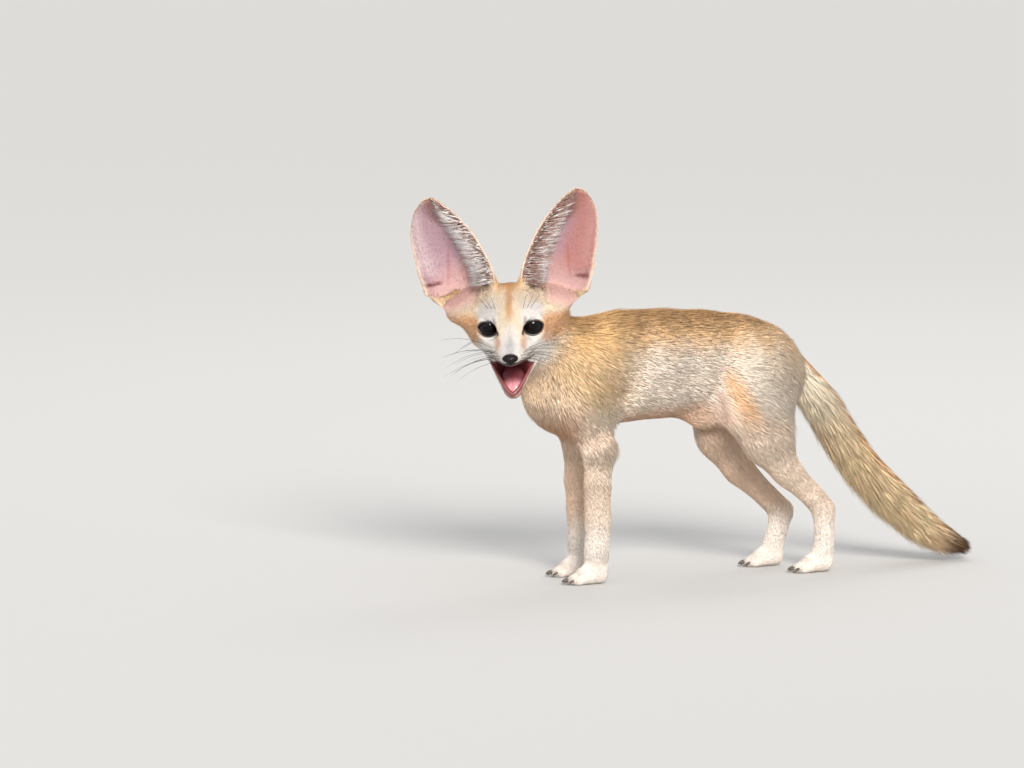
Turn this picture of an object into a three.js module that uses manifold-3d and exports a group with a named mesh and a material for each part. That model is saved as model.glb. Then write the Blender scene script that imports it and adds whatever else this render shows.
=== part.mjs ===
// A standing fennec fox, life size, looking over its left shoulder with its mouth open.
// Millimetres, +Z up. The spine runs along X with the tail towards +X, and the fox's left side faces -Y.
// The flesh is described by rounded forms that melt into each other, wrapped in triangles, thinned, and
// parted by thin cuts into head, jaw, neck, torso, legs and paws. The other parts are built alone.
import * as THREE from "three";
import { mergeVertices } from "three/addons/utils/BufferGeometryUtils.js";
import Module from "manifold-3d";

const wasm = await Module();
wasm.setup();

// Driving dimensions
const GAP = 0.3; // between touching pieces
const SHOULDER_Z = 165; // middle of the chest above the floor
const BACK_RISE = 46; // from there to the top line of the back
const BODY_SQUASH = 0.74; // the trunk's width over its height
const LEG_Y = 22; // each leg's distance from the middle plane
const LEG_SQUASH = 0.86; // a leg's width over its length
const WRIST_Z = 20; // where the paws are parted from the legs
const PAW_LENGTH = 31;
const PAW_WIDTH = 17;
const HEAD_AT = [-154, -16, 207.5]; // middle of the skull
const HEAD_TURN = -22; // degrees from facing -Y, towards the front of the body
const HEAD_NOD = 15;
const HEAD_TILT = -2.5;
const EYE_R = 8.4;
const EYE_AT = [16.3, -14.2, 1]; // middle of the left eyeball in the head
const EYE_OUT = 12; // degrees that each eye looks outwards
const EYE_OPEN = [7.9, 6]; // half the width and height between the lids
const MOUTH_CORNER = [17, -19, -23];
const GAPE_TOP = 10; // degrees that the upper lip line rises towards the nose
const GAPE_LOW = 44; // degrees that the jaw drops
const JAW_LENGTH = 27; // from the corner of the mouth to the lower lip
const TONGUE_WIDTH = 18.5;
const EAR_LENGTH = { ear_left: 81.5, ear_right: 79.5 };
const EAR_OUTER = { ear_left: 29.5, ear_right: 35 }; // from its long axis to its outer edge
const EAR_INNER = { ear_left: 27.5, ear_right: 25.5 }; // from there to its inner edge
const EAR_CUP = 19; // how deep the ear is hollowed at its base
const EAR_THICK = 2.6;
const POUCH_LIFT = 1.1; // how far the pouch on its outer edge stands off
const EAR_ROOT = [32, 4, 21]; // middle of the left ear's base in the head
const EAR_BACK = 10; // degrees that the ears lean back
const EAR_TURN = 12; // degrees that they open outwards
const EAR_LEAN = { ear_left: 17, ear_right: 20 }; // degrees that each leans outwards
const EAR_CUT = 0.1; // share of its length where an ear is parted from the head
const CLAW_LENGTH = 8;
const TAIL_RADIUS = 17.5; // out to the tips of its hair
const TAIL_LENGTH = 230;
const CORE_SHARE = 0.5; // the tail's core over its full radius
const LOCK_LENGTH = 54;
const LOCK_HALF_WIDTH = 7.4;
const LOCK_HALF_THICK = 1.3;
const LOCK_ROWS = 8;
const LOCKS_AROUND = 6;
const HEAD_CUT = 38; // from the middle of the skull to the cut across the neck

// Points and small sums
const rad = THREE.MathUtils.degToRad;
const FAR = 16; // further than any two forms melt together
const clamp = THREE.MathUtils.clamp;
const mix = THREE.MathUtils.lerp;
const smooth = (t) => t * t * (3 - 2 * t);
/** A run of numbers from 0 to 1 that is the same each time. */
function seeded(seed) {
  let state = seed;
  return () => {
    state = (state * 16807) % 2147483647;
    return state / 2147483647;
  };
}
const length3 = (x, y, z) => Math.sqrt(x * x + y * y + z * z);

// Rounded forms: each is a function that gives a point's distance from its surface, negative inside.

/** A limb: a rod from a to b with round ends of radius ra and rb, its width along `side` squashed. */
function limb(a, b, ra, rb, squash = 1, side = 1) {
  const stretch = [1, 1, 1];
  stretch[side] = 1 / squash;
  const start = a.map((v, i) => v * stretch[i]);
  const run = b.map((v, i) => v * stretch[i] - start[i]);
  const [rx, ry, rz] = run;
  const length2 = rx * rx + ry * ry + rz * rz;
  const shrink = (1 + squash) / 2;
  return (x, y, z) => {
    const px = x * stretch[0] - start[0];
    const py = y * stretch[1] - start[1];
    const pz = z * stretch[2] - start[2];
    const t = clamp((px * rx + py * ry + pz * rz) / length2, 0, 1);
    return (length3(px - t * rx, py - t * ry, pz - t * rz) - mix(ra, rb, t)) * shrink;
  };
}

/** An egg with its middle at c and half-sizes r. */
function egg(c, r) {
  const least = Math.min(...r);
  return (x, y, z) =>
    (length3((x - c[0]) / r[0], (y - c[1]) / r[1], (z - c[2]) / r[2]) - 1) * least;
}

/** A chain of limbs through rows of [x, y, z, radius]. */
function chain(rows, melt, squash = 1, side = 1) {
  const links = rows.slice(1).map((row, i) => limb(rows[i], row, rows[i][3], row[3], squash, side));
  return blend(melt, ...links);
}

/** The smaller of two distances, rounded over a width k where they meet. */
function soften(a, b, k) {
  const h = Math.max(k - Math.abs(a - b), 0) / k;
  return Math.min(a, b) - (h * h * k) / 4;
}

/** All the forms melted together over a width k. */
function blend(k, ...forms) {
  return (x, y, z) => {
    let d = 1e3;
    for (const form of forms) d = soften(d, form(x, y, z), k);
    return d;
  };
}

/** The first form with the others hollowed out of it, their edges rounded over a width k. */
function hollow(k, form, ...cavities) {
  return (x, y, z) =>
    cavities.reduce((d, cavity) => -soften(-d, cavity(x, y, z), k), form(x, y, z));
}

/** A form that costs nothing to measure far outside a ball round it. */
const within = (form, [cx, cy, cz], radius) => (x, y, z) => {
  const d = length3(x - cx, y - cy, z - cz) - radius;
  return d > FAR ? d : form(x, y, z);
};

/** The same form on both sides of the head's middle plane. */
const paired = (form) => (x, y, z) => form(Math.abs(x), y, z);

/** A form moved by a matrix. */
function placed(form, matrix) {
  const e = matrix.clone().invert().elements;
  return (x, y, z) =>
    form(
      e[0] * x + e[4] * y + e[8] * z + e[12],
      e[1] * x + e[5] * y + e[9] * z + e[13],
      e[2] * x + e[6] * y + e[10] * z + e[14],
    );
}

// Wrapping a form in triangles

/** Fill the grid squares whose corners lie by turns inside and outside, so that no edge has four faces. */
function settle(field, size, step) {
  for (let changed = true; changed; ) {
    changed = false;
    for (let k = 1; k < size[2] - 1; k++)
      for (let j = 1; j < size[1] - 1; j++)
        for (let i = 1; i < size[0] - 1; i++) {
          const at = i + j * step[1] + k * step[2];
          for (let m = 0; m < 3; m++) {
            const u = step[(m + 1) % 3];
            const v = step[(m + 2) % 3];
            const inside = field[at] < 0;
            if (inside !== field[at + u + v] < 0 || inside === field[at + u] < 0) continue;
            if (inside === field[at + v] < 0) continue;
            const [p, q] = inside ? [at + u, at + v] : [at, at + u + v];
            field[field[p] < field[q] ? p : q] = -1e-3;
            changed = true;
          }
        }
  }
}

/** Triangles round a form, one vertex in each grid cell that its surface crosses. */
function wrap(form, low, high, cell) {
  const size = low.map((v, i) => Math.ceil((high[i] - v) / cell) + 1);
  const step = [1, size[0], size[0] * size[1]];
  const field = new Float32Array(size[0] * size[1] * size[2]);
  const atBorder = (i, j, k) =>
    i < 2 || j < 2 || k < 2 || i > size[0] - 3 || j > size[1] - 3 || k > size[2] - 3;
  let n = 0;
  for (let k = 0; k < size[2]; k++)
    for (let j = 0; j < size[1]; j++)
      for (let i = 0; i < size[0]; i++) {
        const d = form(low[0] + i * cell, low[1] + j * cell, low[2] + k * cell);
        field[n++] = atBorder(i, j, k) ? Math.max(d, cell / 2) : d;
      }
  settle(field, size, step);
  const corners = [0, 1, 2, 3, 4, 5, 6, 7].map((c) => [c & 1, (c >> 1) & 1, c >> 2]);
  const edges = [];
  for (let a = 0; a < 8; a++)
    for (const bit of [1, 2, 4]) if (!(a & bit)) edges.push([a, a | bit]);
  const vertexOf = new Int32Array(field.length).fill(-1);
  const points = [];
  for (let k = 0; k < size[2] - 1; k++)
    for (let j = 0; j < size[1] - 1; j++)
      for (let i = 0; i < size[0] - 1; i++) {
        const at = i + j * step[1] + k * step[2];
        const values = corners.map(([a, b, c]) => field[at + a + b * step[1] + c * step[2]]);
        const sum = [0, 0, 0];
        let crossings = 0;
        for (const [a, b] of edges) {
          if (values[a] < 0 === values[b] < 0) continue;
          const t = values[a] / (values[a] - values[b]);
          for (let m = 0; m < 3; m++) sum[m] += mix(corners[a][m], corners[b][m], t);
          crossings++;
        }
        if (!crossings) continue;
        vertexOf[at] = points.length;
        points.push([i, j, k].map((v, m) => low[m] + (v + sum[m] / crossings) * cell));
      }
  const faces = [];
  for (let k = 1; k < size[2] - 1; k++)
    for (let j = 1; j < size[1] - 1; j++)
      for (let i = 1; i < size[0] - 1; i++) {
        const at = i + j * step[1] + k * step[2];
        for (let m = 0; m < 3; m++) {
          const inside = field[at] < 0;
          if (inside === field[at + step[m]] < 0) continue;
          const u = step[(m + 1) % 3];
          const v = step[(m + 2) % 3];
          const q = [at, at - u, at - u - v, at - v].map((c) => vertexOf[c]);
          if (!inside) q.reverse();
          faces.push([q[0], q[1], q[2]], [q[0], q[2], q[3]]);
        }
      }
  return { points, faces };
}

/** Fewer triangles for nearly the same surface, by folding up the edges that matter least. */
function thin({ points, faces }, goal, care = () => 1) {
  const at = points.map((p) => [...p]);
  const tri = faces.map((f) => [...f]);
  const around = at.map(() => new Set());
  tri.forEach((f, i) => f.forEach((v) => around[v].add(i)));
  const stamp = new Int32Array(at.length);
  const cross = (a, b, c) => {
    const u = [b[0] - a[0], b[1] - a[1], b[2] - a[2]];
    const v = [c[0] - a[0], c[1] - a[1], c[2] - a[2]];
    return [u[1] * v[2] - u[2] * v[1], u[2] * v[0] - u[0] * v[2], u[0] * v[1] - u[1] * v[0]];
  };
  const error = at.map(() => new Float64Array(10));
  for (const f of tri) {
    const n = cross(...f.map((v) => at[v]));
    const area = Math.hypot(...n) || 1e-12;
    const [a, b, c] = n.map((v) => v / area);
    const d = -(a * at[f[0]][0] + b * at[f[0]][1] + c * at[f[0]][2]);
    const plane = [a * a, a * b, a * c, a * d, b * b, b * c, b * d, c * c, c * d, d * d];
    for (const v of f) {
      const weight = area * care(...at[v]);
      plane.forEach((q, i) => (error[v][i] += q * weight));
    }
  }
  const costAt = (q, [x, y, z]) =>
    q[0] * x * x + 2 * q[1] * x * y + 2 * q[2] * x * z + 2 * q[3] * x + q[4] * y * y +
    2 * q[5] * y * z + 2 * q[6] * y + q[7] * z * z + 2 * q[8] * z + q[9];
  const heap = [];
  const before = (i, j) => heap[i].cost < heap[j].cost;
  const swap = (i, j) => ([heap[i], heap[j]] = [heap[j], heap[i]]);
  const push = (item) => {
    let i = heap.push(item) - 1;
    for (let up = (i - 1) >> 1; i > 0 && before(i, up); i = up, up = (i - 1) >> 1) swap(i, up);
  };
  const pop = () => {
    swap(0, heap.length - 1);
    const item = heap.pop();
    for (let i = 0; ; ) {
      let least = i;
      for (const child of [2 * i + 1, 2 * i + 2])
        if (child < heap.length && before(child, least)) least = child;
      if (least === i) return item;
      swap(i, least);
      i = least;
    }
  };
  const offer = (a, b) => {
    const q = error[a].map((v, i) => v + error[b][i]);
    const middle = at[a].map((v, i) => (v + at[b][i]) / 2);
    const [A, B, C] = [q[4] * q[7] - q[5] * q[5], q[2] * q[5] - q[1] * q[7], q[1] * q[5] - q[2] * q[4]];
    const det = q[0] * A + q[1] * B + q[2] * C;
    let best = middle;
    if (Math.abs(det) > 1e-6) {
      const [D, E, F] = [q[0] * q[7] - q[2] * q[2], q[1] * q[2] - q[0] * q[5], q[0] * q[4] - q[1] * q[1]];
      const solved = [
        -(A * q[3] + B * q[6] + C * q[8]) / det,
        -(B * q[3] + D * q[6] + E * q[8]) / det,
        -(C * q[3] + E * q[6] + F * q[8]) / det,
      ];
      const reach = Math.hypot(...at[a].map((v, i) => v - at[b][i]));
      if (Math.hypot(...solved.map((v, i) => v - middle[i])) < reach) best = solved;
    }
    const size = Math.hypot(...at[a].map((v, i) => v - at[b][i]));
    push({ cost: costAt(q, best) + 1e-5 * size * size, a, b, best, q, stampA: stamp[a], stampB: stamp[b] });
  };
  const ring = (v) => {
    const found = new Set();
    for (const f of around[v]) for (const w of tri[f]) if (w !== v) found.add(w);
    return found;
  };
  const folds = (v, other, to) => {
    for (const f of around[v]) {
      if (tri[f].includes(other)) continue;
      const old = tri[f].map((w) => at[w]);
      const moved = tri[f].map((w) => (w === v ? to : at[w]));
      const [n, m] = [cross(...old), cross(...moved)];
      const [ln, lm] = [Math.hypot(...n), Math.hypot(...m)];
      if (n[0] * m[0] + n[1] * m[1] + n[2] * m[2] < 0.3 * ln * lm) return true;
      const sides = moved.map((p, i) => Math.hypot(...p.map((v, k) => v - moved[(i + 1) % 3][k])));
      const longest = Math.max(...sides);
      if (lm < 0.06 * longest * longest) return true;
    }
    return false;
  };
  for (let v = 0; v < at.length; v++) for (const w of ring(v)) if (v < w) offer(v, w);
  let left = tri.length;
  while (left > goal && heap.length) {
    const { a, b, best, q, stampA, stampB } = pop();
    if (stamp[a] !== stampA || stamp[b] !== stampB) continue;
    const near = ring(b);
    if ([...ring(a)].filter((v) => near.has(v)).length !== 2) continue;
    if (folds(a, b, best) || folds(b, a, best)) continue;
    for (const f of [...around[b]]) {
      if (tri[f].includes(a)) {
        tri[f].forEach((v) => around[v].delete(f));
        tri[f] = null;
        left--;
      } else {
        tri[f] = tri[f].map((v) => (v === b ? a : v));
        around[a].add(f);
      }
    }
    around[b].clear();
    stamp[b]++;
    stamp[a]++;
    at[a] = best;
    error[a] = q;
    for (const v of ring(a)) offer(a, v);
  }
  const used = new Map();
  const kept = tri.filter(Boolean).map((f) =>
    f.map((v) => {
      if (!used.has(v)) used.set(v, used.size);
      return used.get(v);
    }),
  );
  return { points: [...used.keys()].map((v) => at[v]), faces: kept };
}

// Solids

/** A manifold solid from a list of points and faces. */
function solidOf({ points, faces }) {
  const mesh = new wasm.Mesh({
    numProp: 3,
    vertProperties: new Float32Array(points.flat()),
    triVerts: new Uint32Array(faces.flat()),
  });
  return new wasm.Manifold(mesh);
}

/** A manifold solid from a three.js geometry, moved by a matrix. */
function solidFrom(geometry, matrix = new THREE.Matrix4()) {
  const bare = new THREE.BufferGeometry();
  const source = geometry.index ? geometry.toNonIndexed() : geometry;
  bare.setAttribute("position", source.getAttribute("position").clone());
  bare.applyMatrix4(matrix);
  const merged = mergeVertices(bare, 1e-4);
  const triVerts = new Uint32Array(merged.index.array);
  if (matrix.determinant() < 0) triVerts.reverse();
  return new wasm.Manifold(
    new wasm.Mesh({ numProp: 3, vertProperties: merged.attributes.position.array, triVerts }),
  );
}

/** The same surface moved out along its normals. */
function swelled({ points, faces }, by) {
  const normals = points.map(() => new THREE.Vector3());
  const v = points.map((p) => new THREE.Vector3(...p));
  for (const [a, b, c] of faces) {
    const n = v[b].clone().sub(v[a]).cross(v[c].clone().sub(v[a]));
    [a, b, c].forEach((i) => normals[i].add(n));
  }
  return { faces, points: v.map((p, i) => p.addScaledVector(normals[i].normalize(), by).toArray()) };
}

/** The largest closed body of a solid. */
const largest = (solid) =>
  solid.decompose().reduce((best, body) => (body.volume() > best.volume() ? body : best));

/** A box between two corners, moved by a matrix. */
function block(low, high, at = new THREE.Matrix4()) {
  const size = high.map((v, i) => v - low[i]);
  const middle = high.map((v, i) => (v + low[i]) / 2);
  const centred = at.clone().multiply(new THREE.Matrix4().makeTranslation(...middle));
  return solidFrom(new THREE.BoxGeometry(...size), centred);
}

/** An outline in the XZ plane, drawn through points and pulled in by a margin, as a slab from y0 to y1. */
function sideSlab(outline, y0, y1, margin = 0) {
  const curve = new THREE.CatmullRomCurve3(
    outline.map(([x, z]) => new THREE.Vector3(x, z, 0)), true, "centripetal",
  );
  const steps = outline.length * 3;
  const turn = Math.sign(
    outline.reduce((sum, [x, z], i) => {
      const [x1, z1] = outline[(i + 1) % outline.length];
      return sum + x * z1 - x1 * z;
    }, 0),
  );
  const points = Array.from({ length: steps }, (_, i) => {
    const p = curve.getPoint(i / steps);
    const t = curve.getTangent(i / steps);
    return new THREE.Vector2(p.x - t.y * margin * turn, p.y + t.x * margin * turn);
  });
  const slab = new THREE.ExtrudeGeometry(new THREE.Shape(points), { depth: y1 - y0, bevelEnabled: false });
  const upright = new THREE.Matrix4().makeRotationX(Math.PI / 2);
  return solidFrom(slab, new THREE.Matrix4().makeTranslation(0, y1, 0).multiply(upright));
}

/** A three.js geometry from a solid. */
function geometryOf(solid) {
  const mesh = solid.getMesh();
  const at = new Float32Array(mesh.numVert * 3);
  for (let i = 0; i < mesh.numVert; i++)
    at.set(mesh.vertProperties.subarray(i * mesh.numProp, i * mesh.numProp + 3), i * 3);
  const geometry = new THREE.BufferGeometry();
  geometry.setAttribute("position", new THREE.BufferAttribute(at, 3));
  geometry.setIndex(new THREE.BufferAttribute(mesh.triVerts, 1));
  geometry.computeVertexNormals();
  return geometry;
}

/** A tapered strand along a line of points, flat across `face`, with half width and thickness at each. */
function strand(line, wide, thick, face, sides) {
  const points = [];
  const faces = [];
  const rings = line.length - 1;
  for (let i = 0; i < rings; i++) {
    const run = line[i + 1].clone().sub(line[Math.max(i - 1, 0)]).normalize();
    const across = run.clone().cross(face).normalize();
    const out = across.clone().cross(run).normalize();
    for (let j = 0; j < sides; j++) {
      const a = (2 * Math.PI * j) / sides;
      const p = line[i].clone().addScaledVector(across, Math.cos(a) * wide[i]);
      points.push(p.addScaledVector(out, Math.sin(a) * thick[i]).toArray());
    }
  }
  points.push(line[rings].toArray(), line[0].toArray());
  const [tip, root] = [rings * sides, rings * sides + 1];
  for (let j = 0; j < sides; j++) {
    const k = (j + 1) % sides;
    for (let i = 0; i < rings - 1; i++) {
      const [a, b, c, d] = [i * sides + j, i * sides + k, (i + 1) * sides + k, (i + 1) * sides + j];
      faces.push([a, b, c], [a, c, d]);
    }
    faces.push([root, k, j], [tip, (rings - 1) * sides + j, (rings - 1) * sides + k]);
  }
  return faceOut({ points, faces });
}

/** The mesh the right way round, whichever way its faces were listed. */
function faceOut(mesh) {
  const inward = solidOf(mesh).volume() < 0;
  return inward ? { points: mesh.points, faces: mesh.faces.map((f) => [...f].reverse()) } : mesh;
}

// Trunk, neck and legs

const trunk = chain(
  [
    [-100, 0, SHOULDER_Z - 5, BACK_RISE - 3],
    [-60, 0, SHOULDER_Z + 1, BACK_RISE - 3],
    [-28, 0, SHOULDER_Z + 2, BACK_RISE - 4],
    [4, 0, SHOULDER_Z + 3, BACK_RISE - 7],
    [34, 0, SHOULDER_Z + 1, BACK_RISE - 9],
    [53, 0, SHOULDER_Z - 3, BACK_RISE - 12],
    [66, 0, SHOULDER_Z - 9, BACK_RISE - 19],
    [73, 0, SHOULDER_Z - 12, BACK_RISE - 24],
  ],
  8,
  BODY_SQUASH,
);
const breast = egg([-104, 0, 148], [27, 25, 30]);
const neckForm = chain(
  [
    [-100, 0, 171, 32],
    [-126, -4, 185, 27],
    [-147, -13, 199, 24],
  ],
  8,
);
const sheath = egg([9, 0, 125], [13, 7, 14]);

/** A front leg on one side: shoulder blade, upper arm, forearm and wrist. */
function frontLeg(side, forward) {
  const y = side * LEG_Y;
  const inset = side * (LEG_Y - 4);
  return blend(
    10,
    limb([-76, inset, 176], [-98, inset, 132], 17, 15),
    limb([-100, inset, 136], [-84, y, 105], 16, 13.2),
    chain(
      [
        [-84, y, 106, 12.6],
        [-85.5, y, 78, 11.6],
        [-85 + forward / 2, y, 50, 11.2],
        [-86 + forward, y, 26, 10.4],
        [-87 + forward, y, 12, 9],
      ],
      4,
      LEG_SQUASH,
    ),
  );
}

/** A hind leg on one side: how far its thigh, hock and foot are moved along the body, and its hock down. */
function hindLeg(side, step, hockStep, hockDrop, footStep) {
  const y = side * LEG_Y;
  const inset = side * (LEG_Y - 4);
  return blend(
    10,
    chain(
      [
        [54, inset, 158, 30],
        [49 + step * 0.45, inset, 133, 27.5],
        [53 + step * 0.85, y, 112, 22.5],
      ],
      10,
      0.64,
    ),
    limb([35 + step * 0.4, inset, 143], [41 + step * 0.7, y, 125], 14, 15, 0.6),
    chain(
      [
        [58 + step, y, 102, 19],
        [72 + step, y, 81 - hockDrop / 2, 13],
        [95 + mix(step, hockStep, 0.6), y, 59 - hockDrop, 9.8],
        [104 + hockStep, y, 49 - hockDrop, 9.4],
        [104 + footStep, y, 32 - hockDrop / 2, 8.8],
        [103 + footStep * 1.1, y, 18, 8.4],
        [101 + footStep * 1.1, y, 11, 8],
      ],
      4,
      LEG_SQUASH,
    ),
  );
}

const LEFT = -1;
const RIGHT = 1;
const legs = {
  front_left: { form: frontLeg(LEFT, 0), side: LEFT, pawX: -92 },
  front_right: { form: frontLeg(RIGHT, 3), side: RIGHT, pawX: -89 },
  hind_left: { form: hindLeg(LEFT, 0, 0, 0, 0), side: LEFT, pawX: 96 },
  hind_right: { form: hindLeg(RIGHT, -23, -17, 6, -22), side: RIGHT, pawX: 72 },
};
for (const leg of Object.values(legs))
  leg.form = within(leg.form, [leg.pawX * 0.86, leg.side * LEG_Y, 92], 112);

const body = blend(
  14,
  trunk,
  breast,
  neckForm,
  sheath,
  ...Object.values(legs).map((leg) => leg.form),
);

// How far each toe stands from the paw's middle line, how far it reaches forwards, and its radius
const TOES = [
  [-0.34, 0.36, 3.5],
  [-0.12, 0.47, 3.8],
  [0.12, 0.47, 3.8],
  [0.34, 0.36, 3.5],
];

/** A paw at (x, side): a low pad with four toes in front. */
function pawForm(x, side) {
  const y = side * LEG_Y;
  const toes = TOES.map(([across, reach, r]) => {
    const tip = [x - PAW_LENGTH * reach, y + PAW_WIDTH * across, r - 0.4];
    return limb([x - 2, y + PAW_WIDTH * across * 0.8, 6.5], tip, r + 0.6, r, 0.9);
  });
  return blend(3, limb([x + 7, y, 8.2], [x - 4, y, 7], 8.3, 7.4), ...toes);
}

/** One claw: a thin curved cone that starts inside the toe and ends just above the floor. */
function clawMesh(x, side, [across, reach, r]) {
  const y = side * LEG_Y + PAW_WIDTH * across;
  const root = x - PAW_LENGTH * reach - r * 0.3;
  const line = [
    [root, y, 4.4],
    [root - CLAW_LENGTH * 0.6, y, 3.6],
    [root - CLAW_LENGTH, y, 0.6],
  ].map((p) => new THREE.Vector3(...p));
  const up = new THREE.Vector3(0, 0, 1);
  return strand(line, [1.2, 1, 0], [1.4, 1.2, 0], up, 6);
}

// Ears, each in a frame of its own: +X outwards, -Y the way it opens, +Z along it

/** How wide, how deeply cupped and how far bent back an ear is at a share t of its length. */
function earAt(name, t, outer) {
  const up = clamp(t, 0, 0.999);
  const base = Math.sqrt(Math.max(1 - (Math.max(0.1 - t, 0) / 0.22) ** 2, 0));
  const edge = outer ? EAR_OUTER[name] * Math.sqrt(1 - up ** 3.2) : EAR_INNER[name] * (1 - up ** 2) ** 0.66;
  return {
    wide: Math.max(edge * base, 0.8),
    cup: EAR_CUP * (1 - 0.84 * smooth(up)) * mix(base, 1, 0.3),
    bend: 5 * Math.sin(Math.PI * up),
    half: EAR_THICK * mix(0.5, 0.36, up),
  };
}

/** The lower end of an ear's curved sheet, as a form that melts into the head. */
const earSheet = (name) => (x, y, z) => {
  const { wide, cup, bend, half } = earAt(name, z / EAR_LENGTH[name], x > 0);
  const across = x / wide;
  const slope = (2 * cup * across) / wide;
  const sheet = Math.abs(y - bend - cup * (1 - across * across)) / Math.sqrt(1 + slope * slope) - half;
  const side = (Math.abs(x) - wide) * 0.9;
  const ends = Math.max(z - EAR_LENGTH[name] * 0.4, -z - EAR_LENGTH[name] * 0.1);
  return -soften(soften(-sheet, -side, 1.6), -ends, 1);
};

/** A whole ear as a closed mesh: the same sheet, with a front and a back. */
function earMesh(name) {
  const rows = 13;
  const columns = 12;
  const at = (t, a) => {
    const { wide, cup, bend } = earAt(name, t, a > 0);
    return new THREE.Vector3(a * wide, bend + cup * (1 - a * a), t * EAR_LENGTH[name]);
  };
  const layers = [[], []];
  for (let i = 0; i <= rows; i++)
    for (let j = 0; j <= columns; j++) {
      const t = mix(-0.03, 0.992, 1 - (1 - i / rows) ** 1.5);
      const a = (2 * j) / columns - 1;
      const step = 1e-3;
      const along = at(t + step, a).sub(at(t - step, a));
      const across = at(t, a + step).sub(at(t, a - step));
      const half = earAt(name, t).half * mix(1, 0.5, a ** 6);
      const out = across.cross(along).normalize().multiplyScalar(half);
      layers[0].push(at(t, a).add(out).toArray());
      layers[1].push(at(t, a).sub(out).toArray());
    }
  const id = (i, j, layer) => layer * layers[0].length + i * (columns + 1) + j;
  const faces = [];
  const quad = (a, b, c, d) => faces.push([a, b, c], [a, c, d]);
  for (let i = 0; i < rows; i++)
    for (let j = 0; j < columns; j++) {
      quad(id(i, j, 0), id(i, j + 1, 0), id(i + 1, j + 1, 0), id(i + 1, j, 0));
      faces.push([id(i, j, 1), id(i + 1, j + 1, 1), id(i, j + 1, 1)]);
      faces.push([id(i, j, 1), id(i + 1, j, 1), id(i + 1, j + 1, 1)]);
    }
  for (let i = 0; i < rows; i++) {
    quad(id(i, 0, 1), id(i, 0, 0), id(i + 1, 0, 0), id(i + 1, 0, 1));
    quad(id(i, columns, 0), id(i, columns, 1), id(i + 1, columns, 1), id(i + 1, columns, 0));
  }
  for (let j = 0; j < columns; j++) {
    quad(id(0, j, 1), id(0, j + 1, 1), id(0, j + 1, 0), id(0, j, 0));
    quad(id(rows, j, 0), id(rows, j + 1, 0), id(rows, j + 1, 1), id(rows, j, 1));
  }
  return faceOut({ points: layers.flat(), faces });
}

/** The small pouch of skin inside an ear's outer edge: a flap that stands off along its upper side. */
function earPouch(name) {
  const face = new THREE.Vector3(-0.55, -0.75, -0.4).normalize();
  const line = [
    [1, 0.33],
    [0.88, 0.27],
    [0.72, 0.215],
    [0.5, 0.17],
  ].map(([a, t]) => {
    const { wide, cup, bend } = earAt(name, t, true);
    const point = new THREE.Vector3(a * wide, bend + cup * (1 - a * a), t * EAR_LENGTH[name]);
    return point.addScaledVector(face, POUCH_LIFT);
  });
  return strand(line, [2.6, 4.4, 3.8, 0], [0.9, 1.3, 1.1, 0], face, 8);
}

/** Where an ear stands in the head. */
function earPose(name) {
  const side = name.endsWith("left") ? 1 : -1;
  const [x, y, z] = EAR_ROOT;
  return new THREE.Matrix4()
    .makeTranslation(side * x, y, z)
    .multiply(new THREE.Matrix4().makeRotationY(rad(side * EAR_LEAN[name])))
    .multiply(new THREE.Matrix4().makeRotationX(rad(-EAR_BACK)))
    .multiply(new THREE.Matrix4().makeRotationZ(rad(side * EAR_TURN)))
    .multiply(new THREE.Matrix4().makeScale(side, 1, 1));
}

const ears = Object.fromEntries(
  Object.keys(EAR_LEAN).map((name) => [name, placed(earSheet(name), earPose(name))]),
);

// Head, in its own frame: +X to its left, -Y forwards, +Z up

const headPose = new THREE.Matrix4()
  .makeTranslation(...HEAD_AT)
  .multiply(new THREE.Matrix4().makeRotationZ(rad(HEAD_TURN)))
  .multiply(new THREE.Matrix4().makeRotationX(rad(HEAD_NOD)))
  .multiply(new THREE.Matrix4().makeRotationY(rad(HEAD_TILT)));

const [CX, CY, CZ] = MOUTH_CORNER;

/** The open wedge between the lips, from the corners of the mouth forwards. */
const gape = (() => {
  const top = [Math.sin(rad(GAPE_TOP)), Math.cos(rad(GAPE_TOP))];
  const low = [Math.sin(rad(GAPE_LOW)), -Math.cos(rad(GAPE_LOW))];
  return (x, y, z) => {
    const bow = 0.012 * x * x; // the lip line lifts towards the corners
    const lift = z - CZ - bow + 3.4;
    const above = (y - CY) * top[0] + lift * top[1];
    const below = (y - CY) * low[0] + lift * low[1];
    return -soften(-above, -below, 3);
  };
})();

/** A point on the jaw, `along` mm from the corner of the mouth, `up` mm off the lip line. */
const onJaw = (x, along, up) => [
  x,
  CY - along * Math.cos(rad(GAPE_LOW)) - up * Math.sin(rad(GAPE_LOW)),
  CZ - 3.4 - along * Math.sin(rad(GAPE_LOW)) + up * Math.cos(rad(GAPE_LOW)),
];

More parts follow.
